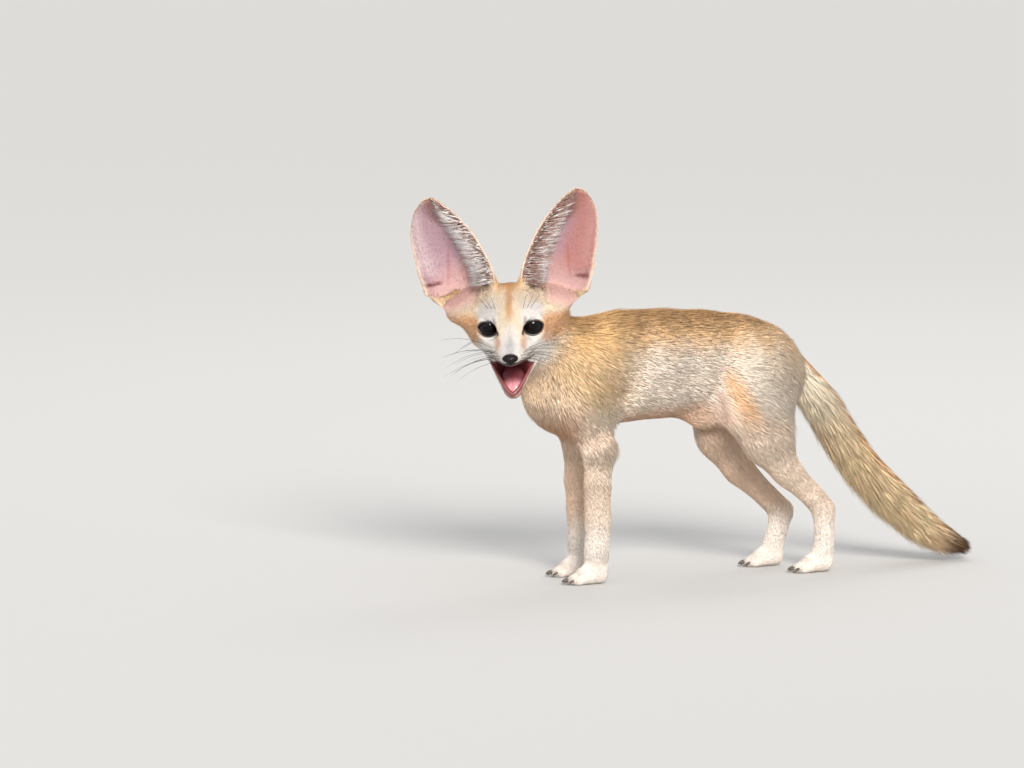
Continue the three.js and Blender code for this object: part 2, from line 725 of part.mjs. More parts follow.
const skull = blend(
  9,
  egg([0, 3, 3], [28, 31, 26]),
  egg([0, -8, 7], [20, 21, 18]),
  paired(egg([17.5, -1, -9], [15, 19, 15])),
  paired(egg([21, 10, -6], [13, 14, 17])),
  paired(limb([18, 10, 2], [30, 13, 8], 18, 12)),
  egg([36, 9, 10], [14, 12, 10]),
  egg([-39, 9, 4], [14, 12, 9.5]),
);
const muzzle = blend(
  5,
  limb([0, -12, -6], [0, -45, -12.4], 15, 5.8),
  paired(limb([10.5, -18, -14], [3.6, -45, -13.8], 7.6, 4.6)),
  paired(limb([13, -16, -17], [8, -30, -16], 6, 4.6)),
);
const jawForm = blend(
  4,
  paired(limb(onJaw(12.5, -8, -6), onJaw(3.2, JAW_LENGTH, -3.4), 7.5, 3.2)),
  limb(onJaw(0, -6, -11), onJaw(0, JAW_LENGTH, -4.2), 9.4, 3.6),
  limb([0, 8, -22], [0, -9, -29], 15, 10),
);
const upperLip = paired(
  chain(
    [
      [18, -20.5, -19.6, 1.8],
      [11.8, -33.5, -18.8, 1.9],
      [4.4, -46, -18.4, 1.9],
      [1.2, -49, -17.8, 1.7],
    ],
    1,
  ),
);
const lowerLip = paired(
  chain(
    [
      [...onJaw(16.6, 1, -1.4), 1.7],
      [...onJaw(10.6, 14, -0.9), 1.7],
      [...onJaw(5.8, JAW_LENGTH - 3, -0.6), 1.6],
      [...onJaw(0.8, JAW_LENGTH + 2.5, -1), 1.6],
    ],
    1,
  ),
);
const throat = blend(
  4,
  limb([0, -22, -27], [0, -2, -25], 10.5, 7),
  paired(limb(onJaw(3.6, 5, -2), onJaw(1.4, JAW_LENGTH - 4, -1), 8.2, 4.6)),
);
const lids = paired(egg(EYE_AT, [EYE_R + 1.7, EYE_R + 1.7, EYE_R + 1.7]));
const headForm = blend(
  2,
  hollow(2, blend(3, blend(7, skull, muzzle, jawForm), lids), gape, throat),
  upperLip,
  lowerLip,
);
const headAndEars = blend(6, headForm, ...Object.values(ears));

/** The tongue, lying in the jaw with a groove along it: made upright, then pressed flat. */
const tongueForm = (() => {
  const flat = 0.34;
  const w = TONGUE_WIDTH / 2;
  const rows = [
    [6.5, -7.8, w * 0.85],
    [12.5, -5.6, w],
    [JAW_LENGTH - 8.5, -3.2, w * 0.92],
  ].map(([along, up, r]) => [0, -along, up / flat, r]);
  const groove = limb([0, -4, 2], [0, 8 - JAW_LENGTH, 11], 1.6, 1);
  const pose = new THREE.Matrix4()
    .makeTranslation(...onJaw(0, 0, 0))
    .multiply(new THREE.Matrix4().makeRotationX(rad(GAPE_LOW)))
    .multiply(new THREE.Matrix4().makeScale(1, 1, flat));
  return placed(hollow(2, chain(rows, 2), groove), pose);
})();

const nosePad = hollow(
  0.8,
  blend(
    1.6,
    egg([0, -48.8, -12.8], [6.3, 4.4, 3.3]),
    egg([0, -50.2, -15.2], [2.3, 2.8, 2.8]),
  ),
  paired(limb([2.9, -54, -13], [4.6, -52, -14.2], 1.2, 0.9)),
);

const headInPlace = within(placed(headAndEars, headPose), HEAD_AT, 118);
const flesh = (x, y, z) => soften(body(x, y, z), headInPlace(x, y, z), 9);

/** A mesh moved by a matrix, turned right side out again where that mirrors it. */
const moved = ({ points, faces }, matrix) => ({
  faces: matrix.determinant() < 0 ? faces.map((f) => [...f].reverse()) : faces,
  points: points.map((p) => new THREE.Vector3(...p).applyMatrix4(matrix).toArray()),
});

// Tail: a core down its line, under overlapping locks of hair that reach out to the full radius

const TAIL_LINE = [[74, 181], [103.5, 138], [141.5, 84], [191, 34.5], [229, 11]]; // along X and up Z
const tailLine = new THREE.CatmullRomCurve3(
  TAIL_LINE.map(([x, z]) => new THREE.Vector3(x, 0, z)), false, "centripetal",
);

/** The tail's radius, out to the tips of the hair, at a share u of its length. */
function tailRadius(u) {
  const swell = mix(0.72, 1, smooth(clamp(u / 0.22, 0, 1)));
  return TAIL_RADIUS * swell * Math.sqrt(1 - (Math.max(u - 0.58, 0) / 0.425) ** 2);
}

/** The point at a share u of the tail's length, `r` out from its line in the direction `angle`. */
function onTail(u, angle, r) {
  const p = tailLine.getPointAt(u);
  const run = tailLine.getTangentAt(u);
  const up = Math.sin(angle) * r;
  return new THREE.Vector3(p.x - run.z * up, Math.cos(angle) * r, p.z + run.x * up);
}

/** The tail's core: rings along its line, up to a share of its length. */
function tailCore(share, length) {
  const sides = 12;
  const rings = 16;
  const points = [];
  const faces = [];
  for (let i = 0; i <= rings; i++) {
    const u = (length * i) / rings;
    for (let j = 0; j < sides; j++) {
      points.push(onTail(u, (2 * Math.PI * j) / sides, tailRadius(u) * share).toArray());
    }
  }
  const start = points.push(onTail(0, 0, 0).toArray()) - 1;
  const end = points.push(onTail(Math.min(length + 0.01, 1), 0, 0).toArray()) - 1;
  for (let j = 0; j < sides; j++) {
    const k = (j + 1) % sides;
    for (let i = 0; i < rings; i++) {
      const [a, b, c, d] = [i * sides + j, i * sides + k, (i + 1) * sides + k, (i + 1) * sides + j];
      faces.push([a, b, c], [a, c, d]);
    }
    faces.push([start, k, j], [end, rings * sides + j, rings * sides + k]);
  }
  return faceOut({ points, faces });
}

/** One lock of the tail, rooted in the core at a share u and bending out to the hair's full radius. */
function tailLock(u, angle, chance) {
  const length = Math.min(LOCK_LENGTH * (0.88 + 0.24 * chance()), (1 - u) * TAIL_LENGTH);
  const sway = 0.34 * (chance() - 0.5);
  const lift = 0.94 + 0.08 * chance();
  const line = [0, 0.36, 0.7, 1].map((s) => {
    const v = u + (length * s) / TAIL_LENGTH;
    const r = tailRadius(v) * mix(0.36, lift, Math.sin((s * Math.PI) / 2));
    return onTail(v, angle + sway * s, r);
  });
  const size = tailRadius(Math.min(u + 0.05, 1)) / TAIL_RADIUS;
  const wide = [0.62, 1, 0.72, 0].map((w) => w * LOCK_HALF_WIDTH * size);
  const thick = [0.8, 1, 0.7, 0].map((w) => w * LOCK_HALF_THICK);
  const face = onTail(u, angle, 1).sub(onTail(u, angle, 0));
  return strand(line, wide, thick, face, 4);
}

/** The whole tail, its locks laid in rings from the root to the tip. */
function tailSolid() {
  const chance = seeded(7);
  let solid = solidOf(tailCore(CORE_SHARE, 0.9));
  for (let row = 0; row < LOCK_ROWS; row++) {
    const u = mix(0.02, 0.86, row / (LOCK_ROWS - 1));
    const around = row < LOCK_ROWS - 1 ? LOCKS_AROUND : 4;
    for (let k = 0; k < around; k++) {
      const angle = (2 * Math.PI * (k + (row % 2) * 0.5 + 0.2 * (chance() - 0.5))) / around;
      solid = solid.add(solidOf(tailLock(u + 0.01 * (chance() - 0.5), angle, chance)));
    }
  }
  return largest(solid);
}

// Cutting the flesh into its nodes

const SHOULDER_OUTLINE = [
  [-74, 176], [-58, 150], [-60, 122], [-62, 100], [-108, 100], [-118, 124], [-104, 156],
];
const THIGH_OUTLINE = [
  [52, 184], [22, 168], [4, 142], [4, 104], [90, 104], [86, 134], [80, 166],
];
const LOW = -20;
const WIDE = 80;

/** The region that a leg takes out of the flesh, `margin` inside the hole it leaves. */
function legRegion(name, margin) {
  const { side } = legs[name];
  const isFront = name.startsWith("front");
  const outline = isFront ? SHOULDER_OUTLINE : THIGH_OUTLINE;
  const inner = (isFront ? 17 : 14) + margin;
  const [y0, y1] = side > 0 ? [inner, WIDE] : [-WIDE, -inner];
  const joint = sideSlab(outline, y0, y1, margin);
  const [x0, x1] = isFront ? [-130, -40] : [-6, 140];
  const top = (isFront ? 106 : 108) - margin;
  const [m0, m1] = side > 0 ? [0.4 + margin, WIDE] : [-WIDE, -0.4 - margin];
  return joint.add(block([x0 + margin, m0, LOW], [x1 - margin, m1, top]));
}

/** Everything on the head's side of a cut square to the neck. */
function headRegion(margin) {
  const at = new THREE.Matrix4()
    .makeTranslation(...HEAD_AT)
    .multiply(new THREE.Matrix4().makeRotationZ(rad(16)))
    .multiply(new THREE.Matrix4().makeRotationY(rad(32)));
  return block([-200, -150, -150], [HEAD_CUT - margin, 150, 150], at);
}

/** Everything forward of and above the base of the neck. */
function neckRegion(margin) {
  const at = new THREE.Matrix4()
    .makeTranslation(-101, 0, 168)
    .multiply(new THREE.Matrix4().makeRotationY(rad(33)));
  return block([-200, -100, -130], [-margin, 100, 130], at);
}

/** Everything below the corners of the mouth, back to the hinge of the jaw. */
function jawRegion(margin) {
  const at = headPose
    .clone()
    .multiply(new THREE.Matrix4().makeTranslation(0, CY - 1, CZ - 2.6))
    .multiply(new THREE.Matrix4().makeRotationX(rad(-16)));
  return block([-60, -80, -90], [60, 22 - margin, -margin], at);
}

/** Everything above the cut across an ear's base. */
function earRegion(name, margin) {
  const at = headPose
    .clone()
    .multiply(earPose(name))
    .multiply(new THREE.Matrix4().makeTranslation(0, 0, EAR_LENGTH[name] * EAR_CUT))
    .multiply(new THREE.Matrix4().makeRotationY(rad(10)));
  return block([-45, -25, margin], [45, 50, 110], at);
}

/** Everything between the lids of one eye, from inside the eyeball out. */
function lidOpening(side) {
  const [w, h] = EYE_OPEN;
  const shape = new THREE.Shape();
  shape.moveTo(-w, 0);
  shape.bezierCurveTo(-w * 0.55, h * 1.35, w * 0.45, h * 1.25, w, -1);
  shape.bezierCurveTo(w * 0.55, -h * 1.35, -w * 0.5, -h * 1.25, -w, 0);
  const solid = new THREE.ExtrudeGeometry(shape, { depth: 30, bevelEnabled: false, curveSegments: 10 });
  solid.rotateX(rad(90)).rotateZ(rad(EYE_OUT));
  return solidFrom(solid, eyePose(side));
}

/** The frame of an eye, mirrored on the right side. */
function eyePose(side) {
  const mirror = new THREE.Matrix4().makeScale(side, 1, 1);
  return headPose.clone().multiply(mirror).multiply(new THREE.Matrix4().makeTranslation(...EYE_AT));
}

/** An eyeball, or the socket round it. */
function eyeball(side, r, detail) {
  return solidFrom(new THREE.SphereGeometry(r, detail, detail * 0.6), eyePose(side));
}

const HALF = GAP / 2;
const nodes = new Map();

// The body below the head, wrapped once and parted
const overFloor = (x, y, z) => Math.max(flesh(x, y, z), 13 - z);
const bodyMesh = thin(wrap(overFloor, [-180, -60, 8], [125, 60, 262], 2.6), 3600);
let rest = solidOf(bodyMesh).subtract(headRegion(-HALF));
rest = rest.subtract(block([-300, -100, LOW], [300, 100, WRIST_Z + HALF]));
for (const name of Object.keys(EAR_LEAN)) rest = rest.subtract(earRegion(name, -HALF));
nodes.set("neck", largest(rest.intersect(neckRegion(HALF))));
rest = rest.subtract(neckRegion(-HALF));
for (const name of Object.keys(legs)) {
  nodes.set("leg_" + name, largest(rest.intersect(legRegion(name, HALF))));
  rest = rest.subtract(legRegion(name, -HALF));
}
nodes.set("torso", largest(rest));

// Paws and claws
for (const [name, { form, side, pawX }] of Object.entries(legs)) {
  const y = side * LEG_Y;
  const shape = blend(3, form, pawForm(pawX, side));
  const clipped = (px, py, pz) => Math.max(shape(px, py, pz), pz - WRIST_Z - 3, -pz - 1);
  const [low, high] = [[pawX - 26, y - 16, -4], [pawX + 24, y + 16, WRIST_Z + 6]];
  const mesh = thin(wrap(clipped, low, high, 1.5), 300);
  const kept = block([pawX - 60, y - 40, 0], [pawX + 60, y + 40, WRIST_Z - HALF]);
  nodes.set("paw_" + name, largest(solidOf(mesh).intersect(kept)));
  const outside = solidOf(swelled(mesh, GAP));
  TOES.forEach((toe, i) => {
    const claw = solidOf(clawMesh(pawX, side, toe)).subtract(outside);
    nodes.set(`claw_${name}_${i + 1}`, largest(claw));
  });
}

// Head, with its eyes, nose, jaw, tongue and ears
const atNeck = placed(body, headPose.clone().invert());
const headWhole = (x, y, z) => soften(headAndEars(x, y, z), atNeck(x, y, z), 9);
const faceCare = (x, y) => (y < -8 ? 5 : 1);
const headMesh = thin(wrap(headWhole, [-66, -62, -62], [66, 58, 52], 1.35), 2900, faceCare);
let head = solidOf(moved(headMesh, headPose)).intersect(headRegion(HALF));
const noseMesh = moved(thin(wrap(nosePad, [-9, -58, -20], [9, -42, -4], 0.7), 260), headPose);
const tongueMesh = moved(thin(wrap(tongueForm, [-13, -52, -60], [13, -12, -14], 1), 240), headPose);
head = head.subtract(solidOf(swelled(noseMesh, GAP)));
head = head.subtract(solidOf(swelled(tongueMesh, GAP)));
for (const [name, side] of [["eye_left", 1], ["eye_right", -1]]) {
  head = head.subtract(eyeball(side, EYE_R + GAP, 16)).subtract(lidOpening(side));
  nodes.set(name, eyeball(side, EYE_R, 14));
}
nodes.set("nose", solidOf(noseMesh));
nodes.set("tongue", solidOf(tongueMesh));
nodes.set("jaw", largest(head.intersect(jawRegion(HALF))));
head = head.subtract(jawRegion(-HALF));
for (const name of Object.keys(EAR_LEAN)) {
  const pose = headPose.clone().multiply(earPose(name));
  const ear = solidOf(moved(earMesh(name), pose)).add(solidOf(moved(earPouch(name), pose)));
  nodes.set(name, largest(ear.intersect(earRegion(name, HALF))));
  head = head.subtract(earRegion(name, -HALF));
}
nodes.set("head", largest(head));

const tail = tailSolid();
nodes.set("tail", largest(tail.subtract(solidOf(swelled(bodyMesh, GAP)))));

// Materials and the finished group

const fur = (color) => new THREE.MeshStandardMaterial({ color, roughness: 0.9, metalness: 0 });
const MATERIALS = {
  torso: fur("#dcb78a"),
  neck: fur("#e2c096"),
  head: fur("#ead2ae"),
  jaw: fur("#efe0cc"),
  tail: fur("#d9a76c"),
  ear: fur("#eccdb0"),
  leg: fur("#e8cdaa"),
  paw: fur("#f0dfc8"),
  tongue: fur("#c4706f"),
  claw: fur("#5a4636"),
  eye: new THREE.MeshStandardMaterial({ color: "#140d0a", roughness: 0.08, metalness: 0 }),
  nose: new THREE.MeshStandardMaterial({ color: "#2a1c1e", roughness: 0.35, metalness: 0 }),
};

const fox = new THREE.Group();
for (const [name, solid] of nodes) {
  const mesh = new THREE.Mesh(geometryOf(solid), MATERIALS[name.split("_")[0]]);
  mesh.name = name;
  fox.add(mesh);
}
const reach = new THREE.Box3().setFromObject(fox);
const middle = reach.getCenter(new THREE.Vector3());
fox.position.set(-middle.x, -middle.y, -reach.min.z);

export default fox;
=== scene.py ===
"""A standing fennec fox: one skin, its coat in fine tufts, and the head's wet and bare parts."""

import logging
import math
from dataclasses import dataclass, field
from enum import Enum

import bpy
import numpy as np
from mathutils import Matrix, Vector

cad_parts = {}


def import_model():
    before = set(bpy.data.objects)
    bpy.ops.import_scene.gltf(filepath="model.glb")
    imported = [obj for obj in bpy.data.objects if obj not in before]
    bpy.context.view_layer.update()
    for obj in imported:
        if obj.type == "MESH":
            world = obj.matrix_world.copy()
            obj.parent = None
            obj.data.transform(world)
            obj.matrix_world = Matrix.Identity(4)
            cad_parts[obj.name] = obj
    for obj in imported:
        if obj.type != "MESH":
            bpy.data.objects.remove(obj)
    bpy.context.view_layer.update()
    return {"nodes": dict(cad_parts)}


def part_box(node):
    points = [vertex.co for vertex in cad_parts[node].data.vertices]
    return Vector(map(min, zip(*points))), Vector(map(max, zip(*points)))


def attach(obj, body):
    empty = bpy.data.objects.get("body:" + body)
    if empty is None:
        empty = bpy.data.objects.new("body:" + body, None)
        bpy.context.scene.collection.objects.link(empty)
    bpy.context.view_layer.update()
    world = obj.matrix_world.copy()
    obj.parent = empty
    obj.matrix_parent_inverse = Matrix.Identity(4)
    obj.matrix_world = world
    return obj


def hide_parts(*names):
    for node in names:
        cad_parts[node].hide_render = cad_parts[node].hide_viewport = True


log = logging.getLogger("fox")

MM = 0.001
SEED = 20
HEAD_AT = (-154.0, -16.0, 207.5)
HEAD_TURN, HEAD_NOD, HEAD_TILT = -22.0, 15.0, -2.5
EYE_AT = (16.3, -14.2, 1.0)
EYE_RADIUS = 8.3
EYE_OUT = 12.0
EYE_OPEN = (8.0, 6.0)
MOUTH_CORNER = (17.0, -19.0, -23.0)
GAPE_TOP, GAPE_LOW = 10.0, 44.0
JAW_LENGTH = 27.0
EAR_ROOT = (32.0, 4.0, 21.0)
EAR_BACK, EAR_TURN = 10.0, 12.0
EAR_CUP = 19.0
TAIL_LINE = ((74.0, 181.0), (103.5, 138.0), (141.5, 84.0), (191.0, 34.5), (229.0, 11.0))
TAIL_RADIUS = 17.5
CORE_SHARE = 0.55
FLESH = ("torso", "neck", "head", "jaw")
LIMBS = ("front_left", "front_right", "hind_left", "hind_right")
EAR_NAMES = ("ear_left", "ear_right")
BAKE_MAP = "OFBake"
COAT = "coat"


# Small sums


def turn(axis: str, degrees: float) -> np.ndarray:
    """A turn about one axis, as a 4 by 4 array."""
    return np.array(Matrix.Rotation(math.radians(degrees), 4, axis))


def place(at: tuple[float, float, float]) -> np.ndarray:
    """A move, as a 4 by 4 array."""
    return np.array(Matrix.Translation(at))


def moved(points: np.ndarray, matrix: np.ndarray) -> np.ndarray:
    """The points after a 4 by 4 matrix."""
    return points @ matrix[:3, :3].T + matrix[:3, 3]


def unit(vectors: np.ndarray) -> np.ndarray:
    """The same vectors, each one long."""
    return vectors / np.maximum(np.linalg.norm(vectors, axis=-1, keepdims=True), 1e-9)


def ramp(value: np.ndarray, low: float, high: float) -> np.ndarray:
    """A soft step from 0 at low to 1 at high, which may be the smaller of the two."""
    t = np.clip((value - low) / (high - low), 0, 1)
    return t * t * (3 - 2 * t)


def column(values: np.ndarray) -> np.ndarray:
    """A row of numbers stood up, to multiply vectors with."""
    return np.asarray(values)[:, None]


def linear(code: str) -> np.ndarray:
    """An sRGB hex colour as three linear numbers."""
    raw = np.array([int(code[i : i + 2], 16) / 255 for i in (1, 3, 5)])
    return np.where(raw <= 0.04045, raw / 12.92, ((raw + 0.055) / 1.055) ** 2.4)


def tint(colours: np.ndarray, mask: np.ndarray, code: str) -> np.ndarray:
    """The colours, turned towards one hex colour as far as the mask says."""
    return colours + (linear(code) - colours) * column(mask)


def ripple(points: np.ndarray, wavelength: float, seed: int) -> np.ndarray:
    """A smooth pattern between about -1 and 1 that wanders over space.

    Args:
        points: Where it is wanted, in millimetres.
        wavelength: The size of its patches, in millimetres.
        seed: Which pattern.

    Returns:
        One number for each point.
    """
    chance = np.random.default_rng(seed)
    total = np.zeros(len(points))
    for _ in range(5):
        way = unit(chance.normal(size=3)) * (2 * math.pi / wavelength) * chance.uniform(0.7, 1.4)
        total += np.sin(points @ way + chance.uniform(0, 6.3))
    return total / 2.6


# The animal's frame


class Part(Enum):
    """What the coat grows on."""

    TRUNK_LEFT = "trunk_left"
    TRUNK_RIGHT = "trunk_right"
    LEGS_FRONT = "legs_front"
    LEGS_HIND = "legs_hind"
    HEAD_LEFT = "head_left"
    HEAD_RIGHT = "head_right"
    EAR_LEFT = "ear_left"
    EAR_RIGHT = "ear_right"
    TAIL = "tail"


@dataclass(frozen=True)
class EarShape:
    """One ear's own sizes, in millimetres and degrees."""

    name: str
    side: int
    length: float
    outer: float
    inner: float
    lean: float

    def edge(self, t: np.ndarray, outside: np.ndarray) -> np.ndarray:
        """From the long axis to the edge at a share t of the length, on the outer or the inner side.

        Args:
            t: The share of the length.
            outside: Where the outer side is meant.

        Returns:
            The distance in millimetres.
        """
        up = np.clip(t, 0, 0.999)
        base = np.sqrt(np.maximum(1 - (np.maximum(0.1 - t, 0) / 0.22) ** 2, 0))
        wide = np.where(outside, self.outer * np.sqrt(1 - up**3.2), self.inner * (1 - up**2) ** 0.66)
        return np.maximum(wide * base, 0.8)

    def depth(self, t: np.ndarray, across: np.ndarray) -> np.ndarray:
        """How far back the ear's sheet lies, at a share t up and a share across from its long axis.

        Args:
            t: The share up.
            across: The share across.

        Returns:
            The depth in millimetres.
        """
        up = np.clip(t, 0, 0.999)
        base = np.sqrt(np.maximum(1 - (np.maximum(0.1 - t, 0) / 0.22) ** 2, 0))
        cup = EAR_CUP * (1 - 0.84 * up * up * (3 - 2 * up)) * (base * 0.7 + 0.3)
        return 5 * np.sin(math.pi * up) + cup * (1 - across**2)


@dataclass
class Stance:
    """Where each part of the animal stands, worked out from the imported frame."""

    ears: tuple[EarShape, EarShape] = (
        EarShape("ear_left", 1, 81.5, 29.5, 27.5, 17),
        EarShape("ear_right", -1, 79.5, 35, 25.5, 20),
    )
    neck_turn: float = 16
    neck_tip: float = 32
    shift: np.ndarray = field(init=False)
    head: np.ndarray = field(init=False)
    neck_cut: np.ndarray = field(init=False)

    def __post_init__(self) -> None:
        """Reads the left eye's place and hangs the head's frame on it."""
        low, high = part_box("eye_left")
        eye = np.array((low + high) / 2) / MM
        bare = place(HEAD_AT) @ turn("Z", HEAD_TURN) @ turn("X", HEAD_NOD) @ turn("Y", HEAD_TILT)
        self.shift = eye - moved(np.array([EYE_AT]), bare)[0]
        self.head = bare
        self.neck_cut = np.linalg.inv(place(HEAD_AT) @ turn("Z", self.neck_turn) @ turn("Y", self.neck_tip))

    def to_world(self, points: np.ndarray) -> np.ndarray:
        """Working millimetres to the frame's metres."""
        return (points + self.shift) * MM

    def to_work(self, points: np.ndarray) -> np.ndarray:
        """The frame's metres to working millimetres."""
        return points / MM - self.shift

    def ear_pose(self, ear: EarShape) -> np.ndarray:
        """An ear's own frame: +X outwards, -Y the way it opens, +Z along it.

        Args:
            ear: The ear's sizes.

        Returns:
            A 4 x 4 matrix in the head's frame.
        """
        x, y, z = EAR_ROOT
        return (
            self.head
            @ place((ear.side * x, y, z))
            @ turn("Y", ear.side * ear.lean)
            @ turn("X", -EAR_BACK)
            @ turn("Z", ear.side * EAR_TURN)
            @ np.diag([float(ear.side), 1, 1, 1])
        )

    def on_jaw(self, x: float, along: float, up: float) -> tuple[float, float, float]:
        """A point on the jaw in the head's frame, from the corner of the mouth and off the lip line.

        Args:
            x: How far to the side.
            along: How far from the corner of the mouth.
            up: How far off the lip line.

        Returns:
            The point in millimetres.
        """
        s, c = math.sin(math.radians(GAPE_LOW)), math.cos(math.radians(GAPE_LOW))
        _, y, z = MOUTH_CORNER
        return (x, y - along * c - up * s, z - 3.4 - along * s + up * c)

    def head_point(self, at: tuple[float, float, float]) -> np.ndarray:
        """A point of the head's frame in the frame's metres."""
        return self.to_world(moved(np.array([at]), self.head))[0]


@dataclass
class TailLine:
    """The tail's middle line and the reach of its hair."""

    steps: int = 240
    points: np.ndarray = field(init=False)
    tangents: np.ndarray = field(init=False)

    def __post_init__(self) -> None:
        """Draws a smooth line through the tail's points, cut into even steps."""
        raw = np.array([(x, 0.0, z) for x, z in TAIL_LINE])
        knots = np.concatenate([[0], np.cumsum(np.linalg.norm(np.diff(raw, axis=0), axis=1) ** 0.5)])
        fine = np.linspace(0, knots[-1], 4 * self.steps)
        line = np.stack([self._through(knots, raw[:, k], fine) for k in range(3)], axis=1)
        run = np.concatenate([[0], np.cumsum(np.linalg.norm(np.diff(line, axis=0), axis=1))])
        even = np.linspace(0, run[-1], self.steps)
        self.points = np.stack([np.interp(even, run, line[:, k]) for k in range(3)], axis=1)
        self.tangents = unit(np.gradient(self.points, axis=0))

    @staticmethod
    def _through(knots: np.ndarray, values: np.ndarray, at: np.ndarray) -> np.ndarray:
        """A cubic through the values at the knots, with slopes from the neighbours.

        Args:
            knots: Where the values stand.
            values: The values.
            at: Where the curve is asked for.

        Returns:
            The curve there.
        """
        slope = np.gradient(values, knots)
        i = np.clip(np.searchsorted(knots, at, side="right") - 1, 0, len(knots) - 2)
        h = knots[i + 1] - knots[i]
        t = (at - knots[i]) / h
        a, b = values[i], values[i + 1]
        return (
            a * (1 + 2 * t) * (1 - t) ** 2
            + slope[i] * h * t * (1 - t) ** 2
            + b * t * t * (3 - 2 * t)
            + slope[i + 1] * h * t * t * (t - 1)
        )

    def radius(self, u: np.ndarray) -> np.ndarray:
        """The hair's reach at a share u of the length, in millimetres.

        Args:
            u: The share of the length.

        Returns:
            The radius there.
        """
        swell = 0.72 + 0.28 * ramp(u, 0, 0.22)
        end = np.maximum(1 - (np.maximum(u - 0.58, 0) / 0.425) ** 2, 0)
        return TAIL_RADIUS * swell * np.sqrt(end)

    def nearest(self, points: np.ndarray) -> np.ndarray:
        """The share of the length of the line's point next to each given point.

        Args:
            points: The points, in millimetres.

        Returns:
            One share for each point.
        """
        best = np.zeros(len(points))
        for start in range(0, len(points), 20000):
            some = points[start : start + 20000]
            gap = ((some[:, None, :] - self.points[None, ::4, :]) ** 2).sum(2)
            best[start : start + 20000] = gap.argmin(1) * 4 / (len(self.points) - 1)
        return best


# Meshes from arrays


def mesh_object(
    name: str,
    points: np.ndarray,
    faces: np.ndarray,
    colours: np.ndarray | None = None,
    spots: np.ndarray | None = None,
) -> bpy.types.Object:
    """A mesh of triangles as a new object.

    Args:
        name: Its name.
        points: The vertices, in the frame's metres.
        faces: Three vertex numbers for each triangle.
        colours: A linear colour for each vertex, kept as an attribute.
        spots: A place on the bake map for each corner of each triangle.

    Returns:
        The object, smooth shaded and linked to the scene.
    """
    mesh = bpy.data.meshes.new(name)
    mesh.vertices.add(len(points))
    place_points(mesh, points)
    mesh.loops.add(faces.size)
    mesh.loops.foreach_set("vertex_index", faces.astype(np.int32).ravel())
    mesh.polygons.add(len(faces))
    mesh.polygons.foreach_set("loop_start", np.arange(0, faces.size, 3, dtype=np.int32))
    mesh.polygons.foreach_set("use_smooth", np.ones(len(faces), dtype=bool))
    mesh.update(calc_edges=True)
    if colours is not None:
        paint(mesh, colours)
    if spots is not None:
        layer = mesh.uv_layers.new(name=BAKE_MAP)
        layer.data.foreach_set("uv", spots.astype(np.float32).ravel())
    piece = bpy.data.objects.new(name, mesh)
    bpy.context.scene.collection.objects.link(piece)
    return piece


def paint(mesh: bpy.types.Mesh, colours: np.ndarray) -> None:
    """Keeps a linear colour for each vertex as the mesh's coat attribute.

    Args:
        mesh: The mesh.
        colours: One colour for each vertex.
    """
    layer = mesh.color_attributes.new(name=COAT, type="FLOAT_COLOR", domain="POINT")
    rgba = np.ones((len(colours), 4), dtype=np.float32)
    rgba[:, :3] = colours
    layer.data.foreach_set("color", rgba.ravel())


def place_points(mesh: bpy.types.Mesh, points: np.ndarray) -> None:
    """Moves a mesh's vertices to these points."""
    mesh.vertices.foreach_set("co", points.astype(np.float32).ravel())


def points_of(mesh: bpy.types.Mesh) -> np.ndarray:
    """A mesh's vertices as an array.

    Args:
        mesh: The mesh.

    Returns:
        One row for each vertex.
    """
    flat = np.zeros(len(mesh.vertices) * 3, dtype=np.float32)
    mesh.vertices.foreach_get("co", flat)
    return flat.reshape(-1, 3).astype(float)


def triangles_of(mesh: bpy.types.Mesh) -> np.ndarray:
    """A mesh's triangles as an array of vertex numbers.

    Args:
        mesh: The mesh.

    Returns:
        Three vertex numbers for each triangle.
    """
    mesh.calc_loop_triangles()
    flat = np.zeros(len(mesh.loop_triangles) * 3, dtype=np.int32)
    mesh.loop_triangles.foreach_get("vertices", flat)
    return flat.reshape(-1, 3)


def normals_of(points: np.ndarray, faces: np.ndarray) -> np.ndarray:
    """A normal for each vertex, weighed by the areas round it.

    Args:
        points: The vertices.
        faces: The triangles.

    Returns:
        One unit vector for each vertex.
    """
    a, b, c = (points[faces[:, k]] for k in range(3))
    flat = np.cross(b - a, c - a)
    out = np.zeros_like(points)
    for k in range(3):
        np.add.at(out, faces[:, k], flat)
    return unit(out)


def only(*pieces: bpy.types.Object) -> None:
    """Selects these objects and no other, the last one active.

    Args:
        *pieces: The objects.
    """
    if bpy.context.object and bpy.context.object.mode != "OBJECT":
        bpy.ops.object.mode_set(mode="OBJECT")
    bpy.ops.object.select_all(action="DESELECT")
    for piece in pieces:
        piece.select_set(True)
        bpy.context.view_layer.objects.active = piece


def copy_of(names: tuple[str, ...], nodes: dict, name: str) -> bpy.types.Object:
    """Copies CAD nodes into one new object with its doubled vertices merged.

    Args:
        names: The nodes.
        nodes: All the frame's nodes by name.
        name: The new object's name.

    Returns:
        The joined copy, the only thing selected.
    """
    copies = []
    for node in names:
        piece = nodes[node].copy()
        piece.data = nodes[node].data.copy()
        piece.parent = None
        for key in list(piece.keys()):
            del piece[key]
        bpy.context.scene.collection.objects.link(piece)
        piece.hide_render = piece.hide_viewport = False
        copies.append(piece)
    only(*copies)
    if len(copies) > 1:
        bpy.ops.object.join()
    piece = bpy.context.view_layer.objects.active
    piece.name = piece.data.name = name
    piece.data.materials.clear()
    bpy.ops.object.mode_set(mode="EDIT")
    bpy.ops.mesh.select_all(action="SELECT")
    bpy.ops.mesh.remove_doubles(threshold=1e-6)
    bpy.ops.object.mode_set(mode="OBJECT")
    return piece


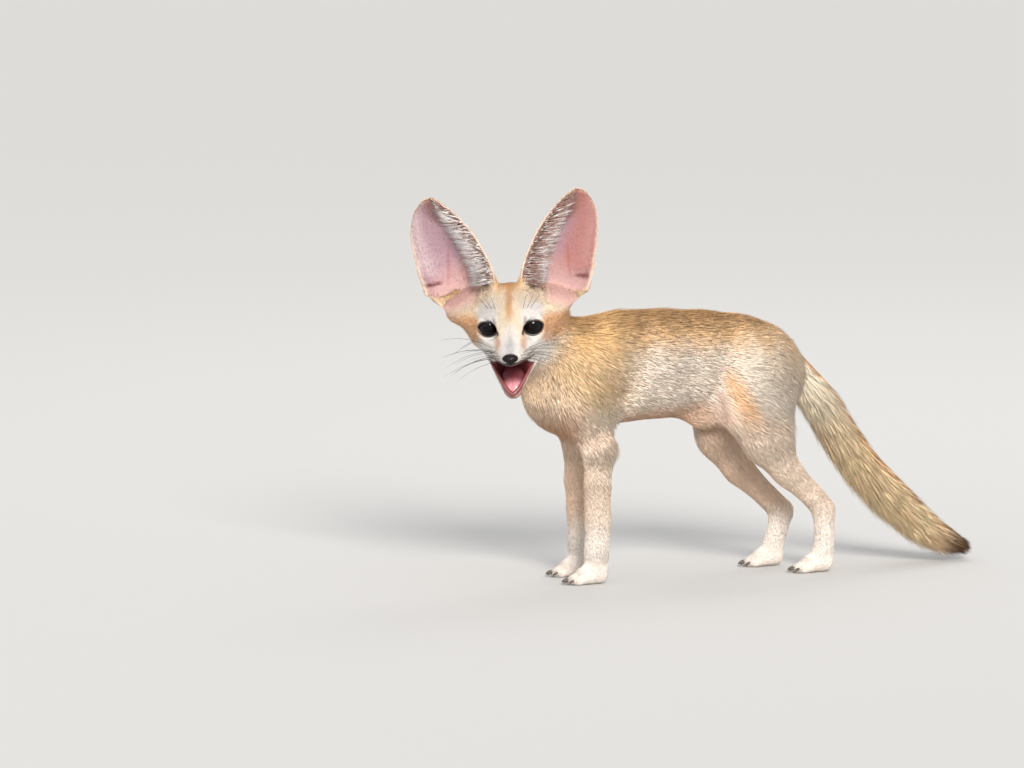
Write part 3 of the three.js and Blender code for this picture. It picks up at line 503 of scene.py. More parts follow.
def remesh(piece: bpy.types.Object, voxel: float, smooth: int, factor: float = 0.5) -> None:
    """Wraps an object afresh in even squares and smooths it.

    Args:
        piece: The object.
        voxel: The size of a square, in millimetres.
        smooth: How many times to smooth.
        factor: How strongly each time.
    """
    only(piece)
    wrap = piece.modifiers.new("wrap", "REMESH")
    wrap.mode = "VOXEL"
    wrap.voxel_size = voxel * MM
    bpy.ops.object.modifier_apply(modifier=wrap.name)
    if smooth:
        ease = piece.modifiers.new("ease", "SMOOTH")
        ease.iterations = smooth
        ease.factor = factor
        bpy.ops.object.modifier_apply(modifier=ease.name)
    bpy.ops.object.shade_smooth()


def relaxed(points: np.ndarray, faces: np.ndarray, share: np.ndarray, times: int) -> np.ndarray:
    """Draws each point of a closed mesh towards the middle of its neighbours, again and again.

    Args:
        points: The vertices.
        faces: The triangles.
        share: How far each vertex takes part.
        times: How often.

    Returns:
        The evened vertices.
    """
    start, end = faces.ravel(), faces[:, [1, 2, 0]].ravel()
    number = np.bincount(start, minlength=len(points))
    for _ in range(times):
        middle = np.stack([np.bincount(start, points[end, k], len(points)) for k in range(3)], 1)
        points = points + (middle / column(number) - points) * column(0.5 * share)
    return points


# The eyes' openings


def bezier(a: tuple, b: tuple, c: tuple, d: tuple, steps: int) -> np.ndarray:
    """Points along a cubic curve from a to d.

    Args:
        a: The start.
        b: The first handle.
        c: The second handle.
        d: The end.
        steps: How many points.

    Returns:
        The points in order.
    """
    t = np.linspace(0, 1, steps)[:, None]
    a, b, c, d = (np.array(p, float) for p in (a, b, c, d))
    return a * (1 - t) ** 3 + 3 * b * t * (1 - t) ** 2 + 3 * c * t * t * (1 - t) + d * t**3


@dataclass
class Opening:
    """The opening between one eye's lids, in that eye's own frame: across, up and ahead."""

    side: int
    lid: float = 0.85
    snap: float = 0.65
    sight: float = 22.0
    grasp: float = 16.0
    edge: np.ndarray = field(init=False)
    axes: np.ndarray = field(init=False)

    def __post_init__(self) -> None:
        """Lays out the edge for its side, 1 for the left and -1 for the right."""
        w, h = EYE_OPEN
        upper = bezier((-w, -0.8), (-w * 0.8, h * 1.32), (w * 0.72, h * 1.3), (w, 0.3), 16)
        lower = bezier((w, 0.3), (w * 0.8, -h * 1.28), (-w * 0.62, -h * 1.38), (-w, -0.8), 16)
        self.edge = np.vstack([upper[:-1], lower[:-1]])
        a = math.radians(EYE_OUT)
        self.axes = np.array([[math.cos(a), math.sin(a), 0], [0, 0, 1], [math.sin(a), -math.cos(a), 0]])

    def own(self, head: np.ndarray) -> np.ndarray:
        """Points of the head's frame in the eye's own."""
        return (head * np.array([self.side, 1, 1]) - np.array(EYE_AT)) @ self.axes.T

    def back(self, own: np.ndarray) -> np.ndarray:
        """Points of the eye's own frame in the head's."""
        return (own @ self.axes + np.array(EYE_AT)) * np.array([self.side, 1, 1])

    def gap(self, flat: np.ndarray) -> tuple[np.ndarray, np.ndarray]:
        """How far points lie outside the edge, below 0 inside it, and the edge's point next to each.

        Args:
            flat: Points across and up in the eye's frame.

        Returns:
            The distances and the edge's points.
        """
        start, end = self.edge, np.roll(self.edge, -1, axis=0)
        run = end - start
        off = flat[:, None] - start
        t = np.clip((off * run).sum(2) / (run**2).sum(1), 0, 1)
        away = np.linalg.norm(off - run * t[..., None], axis=2)
        best = away.argmin(1)
        rows = np.arange(len(flat))
        level = flat[:, 1:2]
        spans = (start[:, 1] > level) != (end[:, 1] > level)
        slope = run[:, 0] / np.where(np.abs(run[:, 1]) < 1e-9, 1e-9, run[:, 1])
        left = flat[:, 0:1] < start[:, 0] + slope * (level - start[:, 1])
        inside = (spans & left).sum(1) % 2 == 1
        near = start[best] + run[best] * t[rows, best][:, None]
        return np.where(inside, -1, 1) * away[rows, best], near

    def around(self, head: np.ndarray) -> np.ndarray:
        """How far points of the head's frame lie outside the opening, 99 where that is far.

        Args:
            head: Points of the head's frame.

        Returns:
            One distance in millimetres for each point.
        """
        own = self.own(head)
        out = np.full(len(head), 99.0)
        near = (np.linalg.norm(own, axis=1) < self.sight) & (own[:, 2] > 1)
        if near.any():
            out[near] = self.gap(own[near, :2])[0]
        return out

    def carve(self, head: np.ndarray) -> np.ndarray:
        """Opens the lids in the skin: they hug the eyeball, and what lies between them sinks into it.

        Args:
            head: Points of the head's frame.

        Returns:
            The points with the opening in them.
        """
        own = self.own(head)
        near = (np.linalg.norm(own, axis=1) < self.grasp) & (own[:, 2] > 1)
        if not near.any():
            return head
        some = own[near]
        gap, closest = self.gap(some[:, :2])
        edge = np.abs(gap) < self.snap
        some[edge, :2] = closest[edge]
        reach = np.linalg.norm(some[:, :2], axis=1)
        hug = np.sqrt(np.maximum((EYE_RADIUS + self.lid) ** 2 - reach**2, 1))
        pull = ramp(gap, 3.6, 0.6) * ramp(reach, 9.5, 8.0)
        sunk = np.sqrt(np.maximum((EYE_RADIUS - 1.3) ** 2 - reach**2, 0.5))
        some[:, 2] = np.where(gap < -self.snap, sunk, some[:, 2] + (hug - some[:, 2]) * pull)
        own[near] = some
        out = head.copy()
        out[near] = self.back(own[near])
        return out

    def rim(self, head_way: np.ndarray, lift: float) -> np.ndarray:
        """The edge laid on a ball a little larger than the eye, in the head's frame."""
        reach = np.sqrt(np.maximum((EYE_RADIUS + lift) ** 2 - (self.edge**2).sum(1), 1))
        return moved(self.back(np.column_stack([self.edge, reach])), head_way)


OPENINGS = (Opening(1), Opening(-1))


# The places that the coat and the markings are worked out from


@dataclass
class Places:
    """A list of points on the animal, with what is known of each."""

    at: np.ndarray
    normal: np.ndarray
    stance: Stance
    tail: TailLine
    on_tail: np.ndarray
    head: np.ndarray = field(init=False)
    head_share: np.ndarray = field(init=False)
    ear_t: np.ndarray = field(init=False)
    ear_across: np.ndarray = field(init=False)
    ear_open: np.ndarray = field(init=False)
    ear_id: np.ndarray = field(init=False)
    ear_base: np.ndarray = field(init=False)
    ear_share: np.ndarray = field(init=False)
    tail_u: np.ndarray = field(init=False)
    mouth: np.ndarray = field(init=False)
    lid_gap: np.ndarray = field(init=False)

    def __post_init__(self) -> None:
        """Works out the head, ear and tail coordinates of every point."""
        stance = self.stance
        self.head = moved(self.at, np.linalg.inv(stance.head))
        cut = moved(self.at, stance.neck_cut)[:, 0]
        self.head_share = ramp(cut, 44, 22) * (1 - self.on_tail)
        count = len(self.at)
        self.ear_t, self.ear_across, self.ear_open = (np.zeros(count) for _ in range(3))
        self.ear_base, self.ear_share = np.zeros(count), np.zeros(count)
        self.ear_id = np.full(count, -1)
        for i, ear in enumerate(stance.ears):
            pose = np.linalg.inv(stance.ear_pose(ear))
            local = moved(self.at, pose)
            facing = self.normal @ pose[:3, :3].T
            t = local[:, 2] / ear.length
            held = np.maximum(t, 0)
            across = local[:, 0] / ear.edge(held, local[:, 0] > 0)
            off = local[:, 1] - ear.depth(held, np.clip(across, -1, 1))
            near = (t > 0.02) & (t < 1.06) & (np.abs(across) < 1.18) & (np.abs(off) < 5.5)
            near &= self.head[:, 2] > 15
            base = ramp(t, -0.26, -0.06) * ramp(np.abs(across), 1.15, 0.85) * ramp(off, 1.2, -0.4)
            base *= ramp(facing[:, 1], 0.45, 0.1)
            self.ear_base = np.maximum(self.ear_base, base * ramp(t, 0.3, 0.16) * (off > -24))
            near_base = (base > 0.01) & ~near
            self.ear_across[near_base] = across[near_base]
            self.ear_t[near_base] = t[near_base]
            self.ear_id[near] = i
            self.ear_t[near] = t[near]
            self.ear_across[near] = across[near]
            slope = 2 * across * np.maximum(EAR_CUP * (1 - 0.84 * ramp(t, 0, 1)), 1) / ear.edge(t, across > 0)
            front = -(facing[:, 1] + facing[:, 0] * slope) * 0.5 - 0.55 * np.clip(off, -2, 2)
            front -= 1.6 * ramp(facing[:, 1], 0.25, 0.7) * ramp(t, 0.4, 0.2)
            self.ear_open[near] = front[near]
            self.ear_share[near] = ramp(t, 0.02, 0.09)[near]
        self.tail_u = np.where(self.on_tail > 0.5, self.tail.nearest(self.at), 0)
        self.mouth = self._mouth()
        self.lid_gap = np.minimum(*(opening.around(self.head) for opening in OPENINGS))

    def _mouth(self) -> np.ndarray:
        """1 inside the mouth and 0 on the coat.

        Returns:
            One value for each point.
        """
        x, y, z = self.head.T
        _, cy, cz = MOUTH_CORNER
        lift = z - cz - 0.012 * x * x + 3.4
        top = math.radians(GAPE_TOP)
        above = (y - cy) * math.sin(top) + lift * math.cos(top)
        low = math.radians(GAPE_LOW)
        jaw_up = -(y - cy) * math.sin(low) + (z - cz + 3.4) * math.cos(low)
        faces = self.normal @ self.stance.head[:3, :3]
        roof = (above > -1.5) & (above < 3.2) & (faces[:, 2] < -0.35) & (y < cy + 3)
        jaw_along = -(y - cy) * math.cos(low) - (z - cz + 3.4) * math.sin(low)
        up_way = faces @ np.array([0, -math.sin(low), math.cos(low)])
        half = np.interp(jaw_along, [0, 14, 24, 30], [17.5, 11, 6.4, 2])
        floor = (jaw_up > -14) & (jaw_up < 1.5) & (np.abs(x) < half) & (jaw_along > -3)
        floor &= (jaw_along < JAW_LENGTH + 1) & (up_way > 0.1)
        throat = np.hypot(np.hypot(x / 12.5, (y + 16) / 17), (z + 27.5) / 10.5) < 1
        inside = roof & (np.abs(x) < 10.5 - 0.19 * (-y - 20)) | floor | (throat & (up_way > -0.5) & (y < -5))
        return inside.astype(float) * (self.head_share > 0.5)

    def ears(self) -> np.ndarray:
        """True on either ear."""
        return self.ear_id >= 0

    def cup(self) -> np.ndarray:
        """True on the side of an ear that faces into its cup."""
        return self.ears() & (self.ear_open > 0.1)

    def fringe(self) -> np.ndarray:
        """True where the long hairs of the inner edge stream across the cup."""
        return self.cup() & (self.ear_across < -0.42) & (self.ear_across > -0.97)

    def legs(self) -> np.ndarray:
        """How far each point belongs to a leg, from 0 to 1.

        Returns:
            One share for each point.
        """
        x, _, z = self.at.T
        hind = ramp(z, 128, 98)
        front = ramp(z, 122, 96) * (x < -30)
        return np.where(x > -20, hind, front) * (1 - self.on_tail) * (1 - self.head_share)


# Which way the coat lies, and what colour it is


@dataclass
class Lie:
    """The way the hair points over the whole body."""

    where: Places
    wander: float = 30.0
    waver: float = 0.06

    def ways(self) -> np.ndarray:
        """The way of the hair at each place, one long and along the skin.

        Returns:
            One direction for each place.
        """
        where = self.where
        way = self._body()
        way += (self._head() - way) * column(where.head_share)
        ears = where.ears()
        if ears.any():
            way[ears] = self._ears()[ears]
        tail = where.on_tail > 0.5
        if tail.any():
            index = (where.tail_u * (len(where.tail.points) - 1)).astype(int)
            way[tail] = where.tail.tangents[index][tail]
        wander = np.stack([ripple(where.at, self.wander, 3 + k) for k in range(3)], axis=1)
        way += wander * column(self.waver - 0.05 * where.legs())
        flat = way - where.normal * column((way * where.normal).sum(1))
        flat = np.where(column(where.fringe()), way, flat)
        return unit(flat)

    def _body(self) -> np.ndarray:
        """From the neck back along the trunk, and down the legs.

        Returns:
            One direction for each place.
        """
        where = self.where
        x, y, z = where.at.T
        flank = ramp(z, 205, 120)
        way = np.stack([np.ones(len(x)), 0.14 * np.sign(y) * ramp(z, 185, 205), -0.1 - 0.42 * flank], 1)
        rump = ramp(x, 36, 88) * ramp(z, 110, 150)
        way[:, 2] -= 1.1 * rump
        shoulder = ramp(x, -62, -96)
        way[:, 2] -= 0.75 * shoulder * ramp(z, 205, 165)
        breast = ramp(x, -104, -124) * ramp(z, 190, 165)
        way += (np.array([0.25, 0, -1]) - way) * column(breast)
        nape = ramp(x, -112, -130) * ramp(z, 170, 200)
        way += (np.array([0.9, 0.2, -0.5]) - way) * column(nape)
        legs = where.legs()
        bend = np.interp(z, [20, 45, 62, 90, 125], [-0.1, 0.05, 0.8, 0.75, 0.45])
        hind = np.stack([bend, 0 * x, 0 * x - 0.9], 1)
        front = np.stack([0.12 + 0.25 * ramp(z, 80, 120), 0 * x, 0 * x - 1], 1)
        down = np.where(column(x > -20), hind, front)
        foot = ramp(z, 17, 9)
        down += (np.array([-1, 0, -0.35]) - down) * column(foot)
        return way + (down - way) * column(legs)

    def _head(self) -> np.ndarray:
        """Away from the nose, over the brow and back along the cheeks.

        Returns:
            One direction for each place.
        """
        head = self.where.head
        way = head - np.array([0, -60, -14])
        cheek = ramp(np.abs(head[:, 0]), 12, 26) * ramp(head[:, 2], 6, -12)
        way[:, 2] -= 22 * cheek
        jaw = ramp(head[:, 2], -24, -34)
        way += (np.array([0, 30, -22]) - way) * column(jaw)
        way = unit(way)
        ones = 0 * head[:, 0] + 1
        off = head - np.array(EYE_AT) * np.stack([np.sign(head[:, 0]), ones, ones], 1)
        way += unit(off) * column(1.6 * ramp(self.where.lid_gap, 3.5, 0.5))
        return unit(way) @ self.where.stance.head[:3, :3].T

    def _ears(self) -> np.ndarray:
        """Up the backs of the ears, and inwards from the edges of the cups.

        Returns:
            One direction for each place.
        """
        where = self.where
        way = np.zeros_like(where.at)
        for i, ear in enumerate(where.stance.ears):
            mine = where.ear_id == i
            across = where.ear_across
            inside = where.cup()
            local = np.tile(np.array([0.0, 0, 1]), (len(across), 1))
            local[inside] = np.array([0.25, 0, 1])
            spread = 0.4 - 0.2 * ramp(where.ear_t, 0.35, 0.1) + 0.4 * ramp(where.ear_t, 0.6, 0.95)
            streaming = np.stack([np.ones(len(across)), 0.3 * across - 0.1, spread], 1)
            local = np.where(column(where.fringe()), streaming, local)
            pose = where.stance.ear_pose(ear)[:3, :3]
            way[mine] = (local @ pose.T)[mine]
        return way


@dataclass
class Markings:
    """The colours of coat and skin, worked out from the place on the body."""

    where: Places

    def base(self) -> np.ndarray:
        """The coat's middle colour at each place.

        Returns:
            One linear colour for each place.
        """
        where = self.where
        colours = self._body()
        colours += (self._head() - colours) * column(where.head_share)
        tail = where.on_tail > 0.5
        if tail.any():
            colours[tail] = self._tail()[tail]
        if where.ears().any():
            colours += (self._ears() - colours) * column(where.ear_share)
        patchy = 1 + 0.02 * ripple(where.at, 23, 11) + 0.025 * ripple(where.at, 5, 12)
        patchy -= 0.1 * where.head_share
        return np.clip(colours * column(patchy), 0.004, 1)

    def ticking(self) -> np.ndarray:
        """How likely a tuft's tip is dark, at each place.

        Returns:
            One chance for each place.
        """
        where = self.where
        x, _, z = where.at.T
        back = ramp(z + 2 * ripple(where.at, 11, 13), 178, 204) * ramp(where.normal[:, 2], 0.05, 0.65)
        chance = 0.03 + 0.45 * back * (1 - where.legs())
        chance += 0.12 * ramp(x, 40, 84) * ramp(z, 138, 168)
        crown = where.head_share * ramp(where.head[:, 1], -8, 12) * ramp(where.head[:, 2], 4, 20)
        chance = chance * (1 - where.head_share) + 0.22 * crown
        nape = ramp(x, -92, -118) * ramp(z, 182, 205) * (1 - where.head_share)
        chance += 0.2 * nape
        side = self.tail_top()
        tail = 0.03 + 0.42 * side + 0.8 * ramp(where.tail_u, 0.78, 0.95)
        return np.where(where.on_tail > 0.5, tail, np.where(where.ears(), 0.02, chance))

    def tail_top(self) -> np.ndarray:
        """How far each place is on the tail's upper side.

        Returns:
            One share for each place.
        """
        where = self.where
        index = (where.tail_u * (len(where.tail.points) - 1)).astype(int)
        run = where.tail.tangents[index]
        up = np.stack([-run[:, 2], 0 * run[:, 0], run[:, 0]], axis=1)
        up *= np.sign(up[:, 2:3] + 1e-9)
        return ramp((where.normal * up).sum(1), 0.35, 0.9)

    def _body(self) -> np.ndarray:
        """Trunk, neck and legs.

        Returns:
            One linear colour for each place.
        """
        where = self.where
        x, y, z = where.at.T
        nz = where.normal[:, 2]
        wander = 3 * ripple(where.at, 24, 14)
        colours = np.tile(linear("#fdeada"), (len(x), 1))
        colours = tint(colours, 0.85 * ramp(z + wander, 164, 197) * ramp(nz, -0.2, 0.5), "#f0c184")
        colours = tint(colours, 0.65 * ramp(z + wander, 190, 205) * ramp(nz, 0.25, 0.85), "#b5854f")
        shoulder = ramp(x, -48, -92) * ramp(z, 122, 160)
        colours = tint(colours, 0.7 * shoulder, "#f8cb8c")
        # A dark brown patch at the nape behind the head: partly its own dark hair and partly painted shade.
        nape = ramp(np.hypot((x + 100) / 17, (z - 204) / 11), 1.3, 0.4)
        colours = tint(colours, 0.5 * nape, "#8f6438")
        # Painted shade: the lower chest under the head is a darker warm tan.
        colours = tint(colours, 0.7 * ramp(x, -100, -118) * ramp(z, 156, 128), "#cf9460")
        # Painted shade: faces that turn downwards, along the belly and under the chest, are darker and
        # warmer.
        colours = tint(colours, 0.6 * ramp(nz, -0.35, -0.85), "#d09c6c")
        colours = tint(colours, 0.5 * ramp(x, 24, 74) * ramp(z + wander, 132, 180), "#f0cda4")
        streak = ramp(np.abs(x - 22 + 0.5 * (z - 150)), 12, 1) * ramp(np.abs(z - 144), 30, 8)
        colours = tint(colours, 0.6 * streak * ramp(nz, 0.75, 0.2), "#f4b060")
        # Painted shade in the skin's fold between belly and thigh.
        fold_shade = ramp(np.abs(x - 14 + 0.42 * (z - 140)), 5, 1) * ramp(np.abs(z - 136), 16, 7)
        colours = tint(colours, 0.4 * fold_shade, "#a46d42")
        # Painted shade: the sheath's lower end under the belly is darker brown.
        sheath_shade = ramp(np.hypot(x - 7, y), 14, 7) * ramp(z, 124, 112)
        colours = tint(colours, 0.5 * sheath_shade, "#9a6a48")
        bib = ramp(np.hypot(x + 128, z - 150), 26, 12)
        colours = tint(colours, 0.3 * bib, "#f7e8d8")
        # Painted shade: the low flank turns warmer and darker towards the belly.
        colours = tint(colours, 0.3 * ramp(z + wander, 138, 116), "#dba878")
        legs = where.legs()
        colours = tint(colours, 0.75 * legs, "#fef0e4")
        outer = ramp(np.abs(y) - 22, -2, 8)
        colours = tint(colours, 0.35 * legs * outer * ramp(z, 30, 70), "#efcda8")
        # Painted light: a warm glow of light bounced from the ground on the legs' inner, shaded sides.
        colours = tint(colours, 0.5 * legs * (1 - outer) * ramp(z, 20, 60), "#f2c49c")
        return tint(colours, ramp(z, 60, 24) * legs, "#f8ede3")

    def _head(self) -> np.ndarray:
        """Face, cheeks, crown and chin.

        Returns:
            One linear colour for each place.
        """
        where = self.where
        head = where.head
        x, y, z = np.abs(head[:, 0]), head[:, 1], head[:, 2]
        colours = np.tile(linear("#f6e3c8"), (len(x), 1))
        colours = tint(colours, 0.85 * ramp(y, 2, 22) * ramp(z, -44, -14), "#dcae7e")
        crown = ramp(x, 22, 6) * ramp(y, -18, 0) * ramp(z, 5, 20)
        colours = tint(colours, 0.8 * crown, "#ecb878")
        colours = tint(colours, 0.6 * ramp(x, 24, 8) * ramp(z, 15, 25) * ramp(y, -8, 6), "#cf9458")
        stripe = ramp(x + 0.8 * ripple(head, 7, 15), 5, 0) * ramp(z, 5, 17) * ramp(y, 26, 12)
        colours = tint(colours, 0.65 * stripe, "#db9345")
        brow = ramp(np.hypot(x - 17, (z - 13) * 0.75), 12, 5) * ramp(y, -2, -14)
        colours = tint(colours, 0.85 * brow, "#f6f3f2")
        crease = ramp(np.abs(x - 10.2 - 0.1 * (z + 3)), 2.0, 0.5)
        crease = crease * ramp(np.abs(z - 5), 8, 4) * ramp(y, -8, -15)
        colours = tint(colours, 0.6 * crease, "#84707a")
        low = ramp(z, 0, -5) * ramp(y, -8, -16)
        colours = tint(colours, 0.92 * low, "#fbf6f1")
        side = ramp(x, 19, 27) * ramp(np.abs(z + 3), 13, 5)
        colours = tint(colours, 0.8 * side, "#e2a672")
        corner = ramp(np.hypot(x - 24.5, (z + 0.5) * 1.1), 4.2, 1.2) * ramp(y, 0, -10)
        colours = tint(colours, 0.45 * corner, "#a77450")
        bridge = ramp(x, 9, 2) * ramp(y, -12, -20) * ramp(z, 10, 1)
        colours = tint(colours, 0.7 * bridge, "#f5f1ec")
        grey = ramp(x, 6, 0) * ramp(y, -27, -42) * ramp(z, -15.5, -12)
        colours = tint(colours, 0.6 * grey, "#a3a3ab")
        run = np.clip((-y - 24) / 13, 0, 1)
        tear = ramp(np.hypot(x - (9.4 - 0.9 * run), (z - (-1.6 - 8.6 * run)) * 0.6), 4.6, 0.6)
        tear *= ramp(y, -17, -22) * ramp(y, -42, -34)
        colours = tint(colours, 0.7 * tear, "#d99c68")
        inner = ramp(np.hypot(x - 10, (z + 0.1) * 0.8), 2.3, 0.9) * ramp(y, -12, -16)
        colours = tint(colours, 0.9 * inner, "#2c1d16")
        colours = tint(colours, 0.6 * ramp(z, -24, -32), "#e6cbb8")
        colours = tint(colours, 0.7 * ramp(z, -38, -43) * ramp(y, -28, -34), "#b07a6c")
        roots = np.array([w.root for w in Whiskers.rows() if w.root[1] < -26])
        close = np.full(len(x), 9.0)
        muzzle = y < -24
        if muzzle.any():
            off = head[muzzle][:, None] - roots[None]
            close[muzzle] = np.linalg.norm(off, axis=2).min(1)
        colours = tint(colours, 0.6 * ramp(close, 1.5, 0.5), "#5a4238")
        lip = ramp(np.abs(z + 18.6 - 0.012 * x * x), 1.5, 0.4) * ramp(y, -22, -28)
        colours = tint(colours, 0.5 * lip, "#6f5a55")
        colours = tint(colours, 0.9 * ramp(where.lid_gap, 1.5, 0.5), "#2c1d16")
        base = where.ear_base
        colours = tint(colours, 0.75 * base, "#f6e0c6")
        pink = ramp(where.ear_across, -0.3, 0.05) * ramp(where.ear_across, 0.98, 0.8)
        pink = pink * ramp(where.ear_t, -0.2, -0.04)
        colours = tint(colours, 0.9 * base * pink, "#d9aca6")
        # Dark brown at the ear's inner base: partly dark hair and partly painted shade where the hairs cross.
        tuft = base * ramp(np.abs(where.ear_across + 0.55), 0.24, 0.1) * ramp(where.ear_t, -0.06, 0.0)
        return tint(colours, 0.6 * tuft, "#70462f")

    def _tail(self) -> np.ndarray:
        """Tawny sides, a dark ridge along the top and a dark tip.

        Returns:
            One linear colour for each place.
        """
        where = self.where
        u = where.tail_u
        top = self.tail_top()
        colours = np.tile(linear("#fff0dc"), (len(u), 1))
        colours = tint(colours, 0.75 * ramp(u, 0.06, 0.4), "#ffd7a4")
        colours = tint(colours, 0.55 * ramp(top, -0.1, 0.5), "#f0ab58")
        colours = tint(colours, 0.6 * ramp(top, 0.4, 1), "#95602f")
        return tint(colours, ramp(u + 0.03 * ripple(where.at, 12, 15), 0.76, 0.96), "#7d5530")

    def _ears(self) -> np.ndarray:
        """Sandy backs, pale rims and pink cups.

        Returns:
            One linear colour for each place.
        """
        where = self.where
        across, t = where.ear_across, where.ear_t
        colours = np.tile(linear("#e4bd94"), (len(t), 1))
        colours = tint(colours, ramp(np.abs(across), 0.84, 0.97), "#fbe3cb")
        colours = tint(colours, 0.4 * ramp(across, 0.4, 0.8) * ramp(t, 0.35, 0.2), "#fbe9d6")
        colours = tint(colours, 0.85 * ramp(across, 0.0, 0.4) * ramp(t, 0.18, 0.13), "#e3b9a8")
        inside = ramp(where.ear_open, 0.0, 0.3)
        lining = np.tile(linear("#bd9ba5"), (len(t), 1))
        lining = tint(lining, 0.75 * ramp(t + 0.1 * across, 0.42, 0.16), "#d9aca6")
        lining = tint(lining, 0.5 * ramp(across, 0.45, 0.85) * ramp(t, 0.2, 0.4), "#e9d6d4")
        wide = 0.24 + 0.5 * ramp(t, 0.6, 0.95)
        # Painted shade: dark brown down the middle of the cup, strongest high up, where the hair shades the
        # lining.
        hollow_shade = ramp(np.abs(across + 0.24 - 0.25 * ramp(t, 0.5, 0.9)), wide, 0.25 * wide)
        hollow_shade *= 0.35 + 0.65 * ramp(t, 0.25, 0.5)
        lining = tint(lining, 0.8 * hollow_shade, "#7f5a53")
        # The cup's inner side under the long fringe hairs is browner: partly the lining's own colour and
        # partly painted shade under the hairs.
        under = 0.45 + 0.3 * (where.ear_id == 0)
        lining = tint(lining, under * ramp(across, -0.22, -0.45), "#8a655b")
        lining = tint(lining, 0.75 * ramp(across, -0.68, -0.82), "#c4a79b")
        lining = tint(lining, 0.5 * ramp(t, 0.86, 0.99), "#97705f")
        # Dark brown low in the cup, at the foot of the fringe: partly the lining's own colour and partly
        # painted shade.
        low = ramp(t, 0.2, 0.1) * ramp(np.abs(across + 0.35), 0.35, 0.15)
        lining = tint(lining, 0.5 * low, "#6d4636")
        warm = (where.ear_id == 0) * ramp(across, -0.1, 0.45) * ramp(t, 0.1, 0.3)
        lining = tint(lining, 0.7 * warm, "#c47f72")
        ridge = ramp(np.abs(across - 0.5 + 0.9 * (t - 0.15)), 0.06, 0.015) * ramp(t, 0.6, 0.35)
        lining = tint(lining, 0.35 * ridge * ramp(t, 0.08, 0.2), "#b0594c")
        # Painted shadow: the small pocket low on the ear's outer edge is dark red-brown inside.
        pocket_shadow = np.hypot((across - 0.82) / 0.24, (t - 0.18 - 0.1 * (across - 0.8)) / 0.022)
        lining = tint(lining, 0.85 * ramp(pocket_shadow, 1.15, 0.6), "#6b2a1c")
        lining = tint(lining, ramp(np.abs(across), 0.88, 0.98), "#fbe0ca")
        return colours + (lining - colours) * column(inside)


# The skin


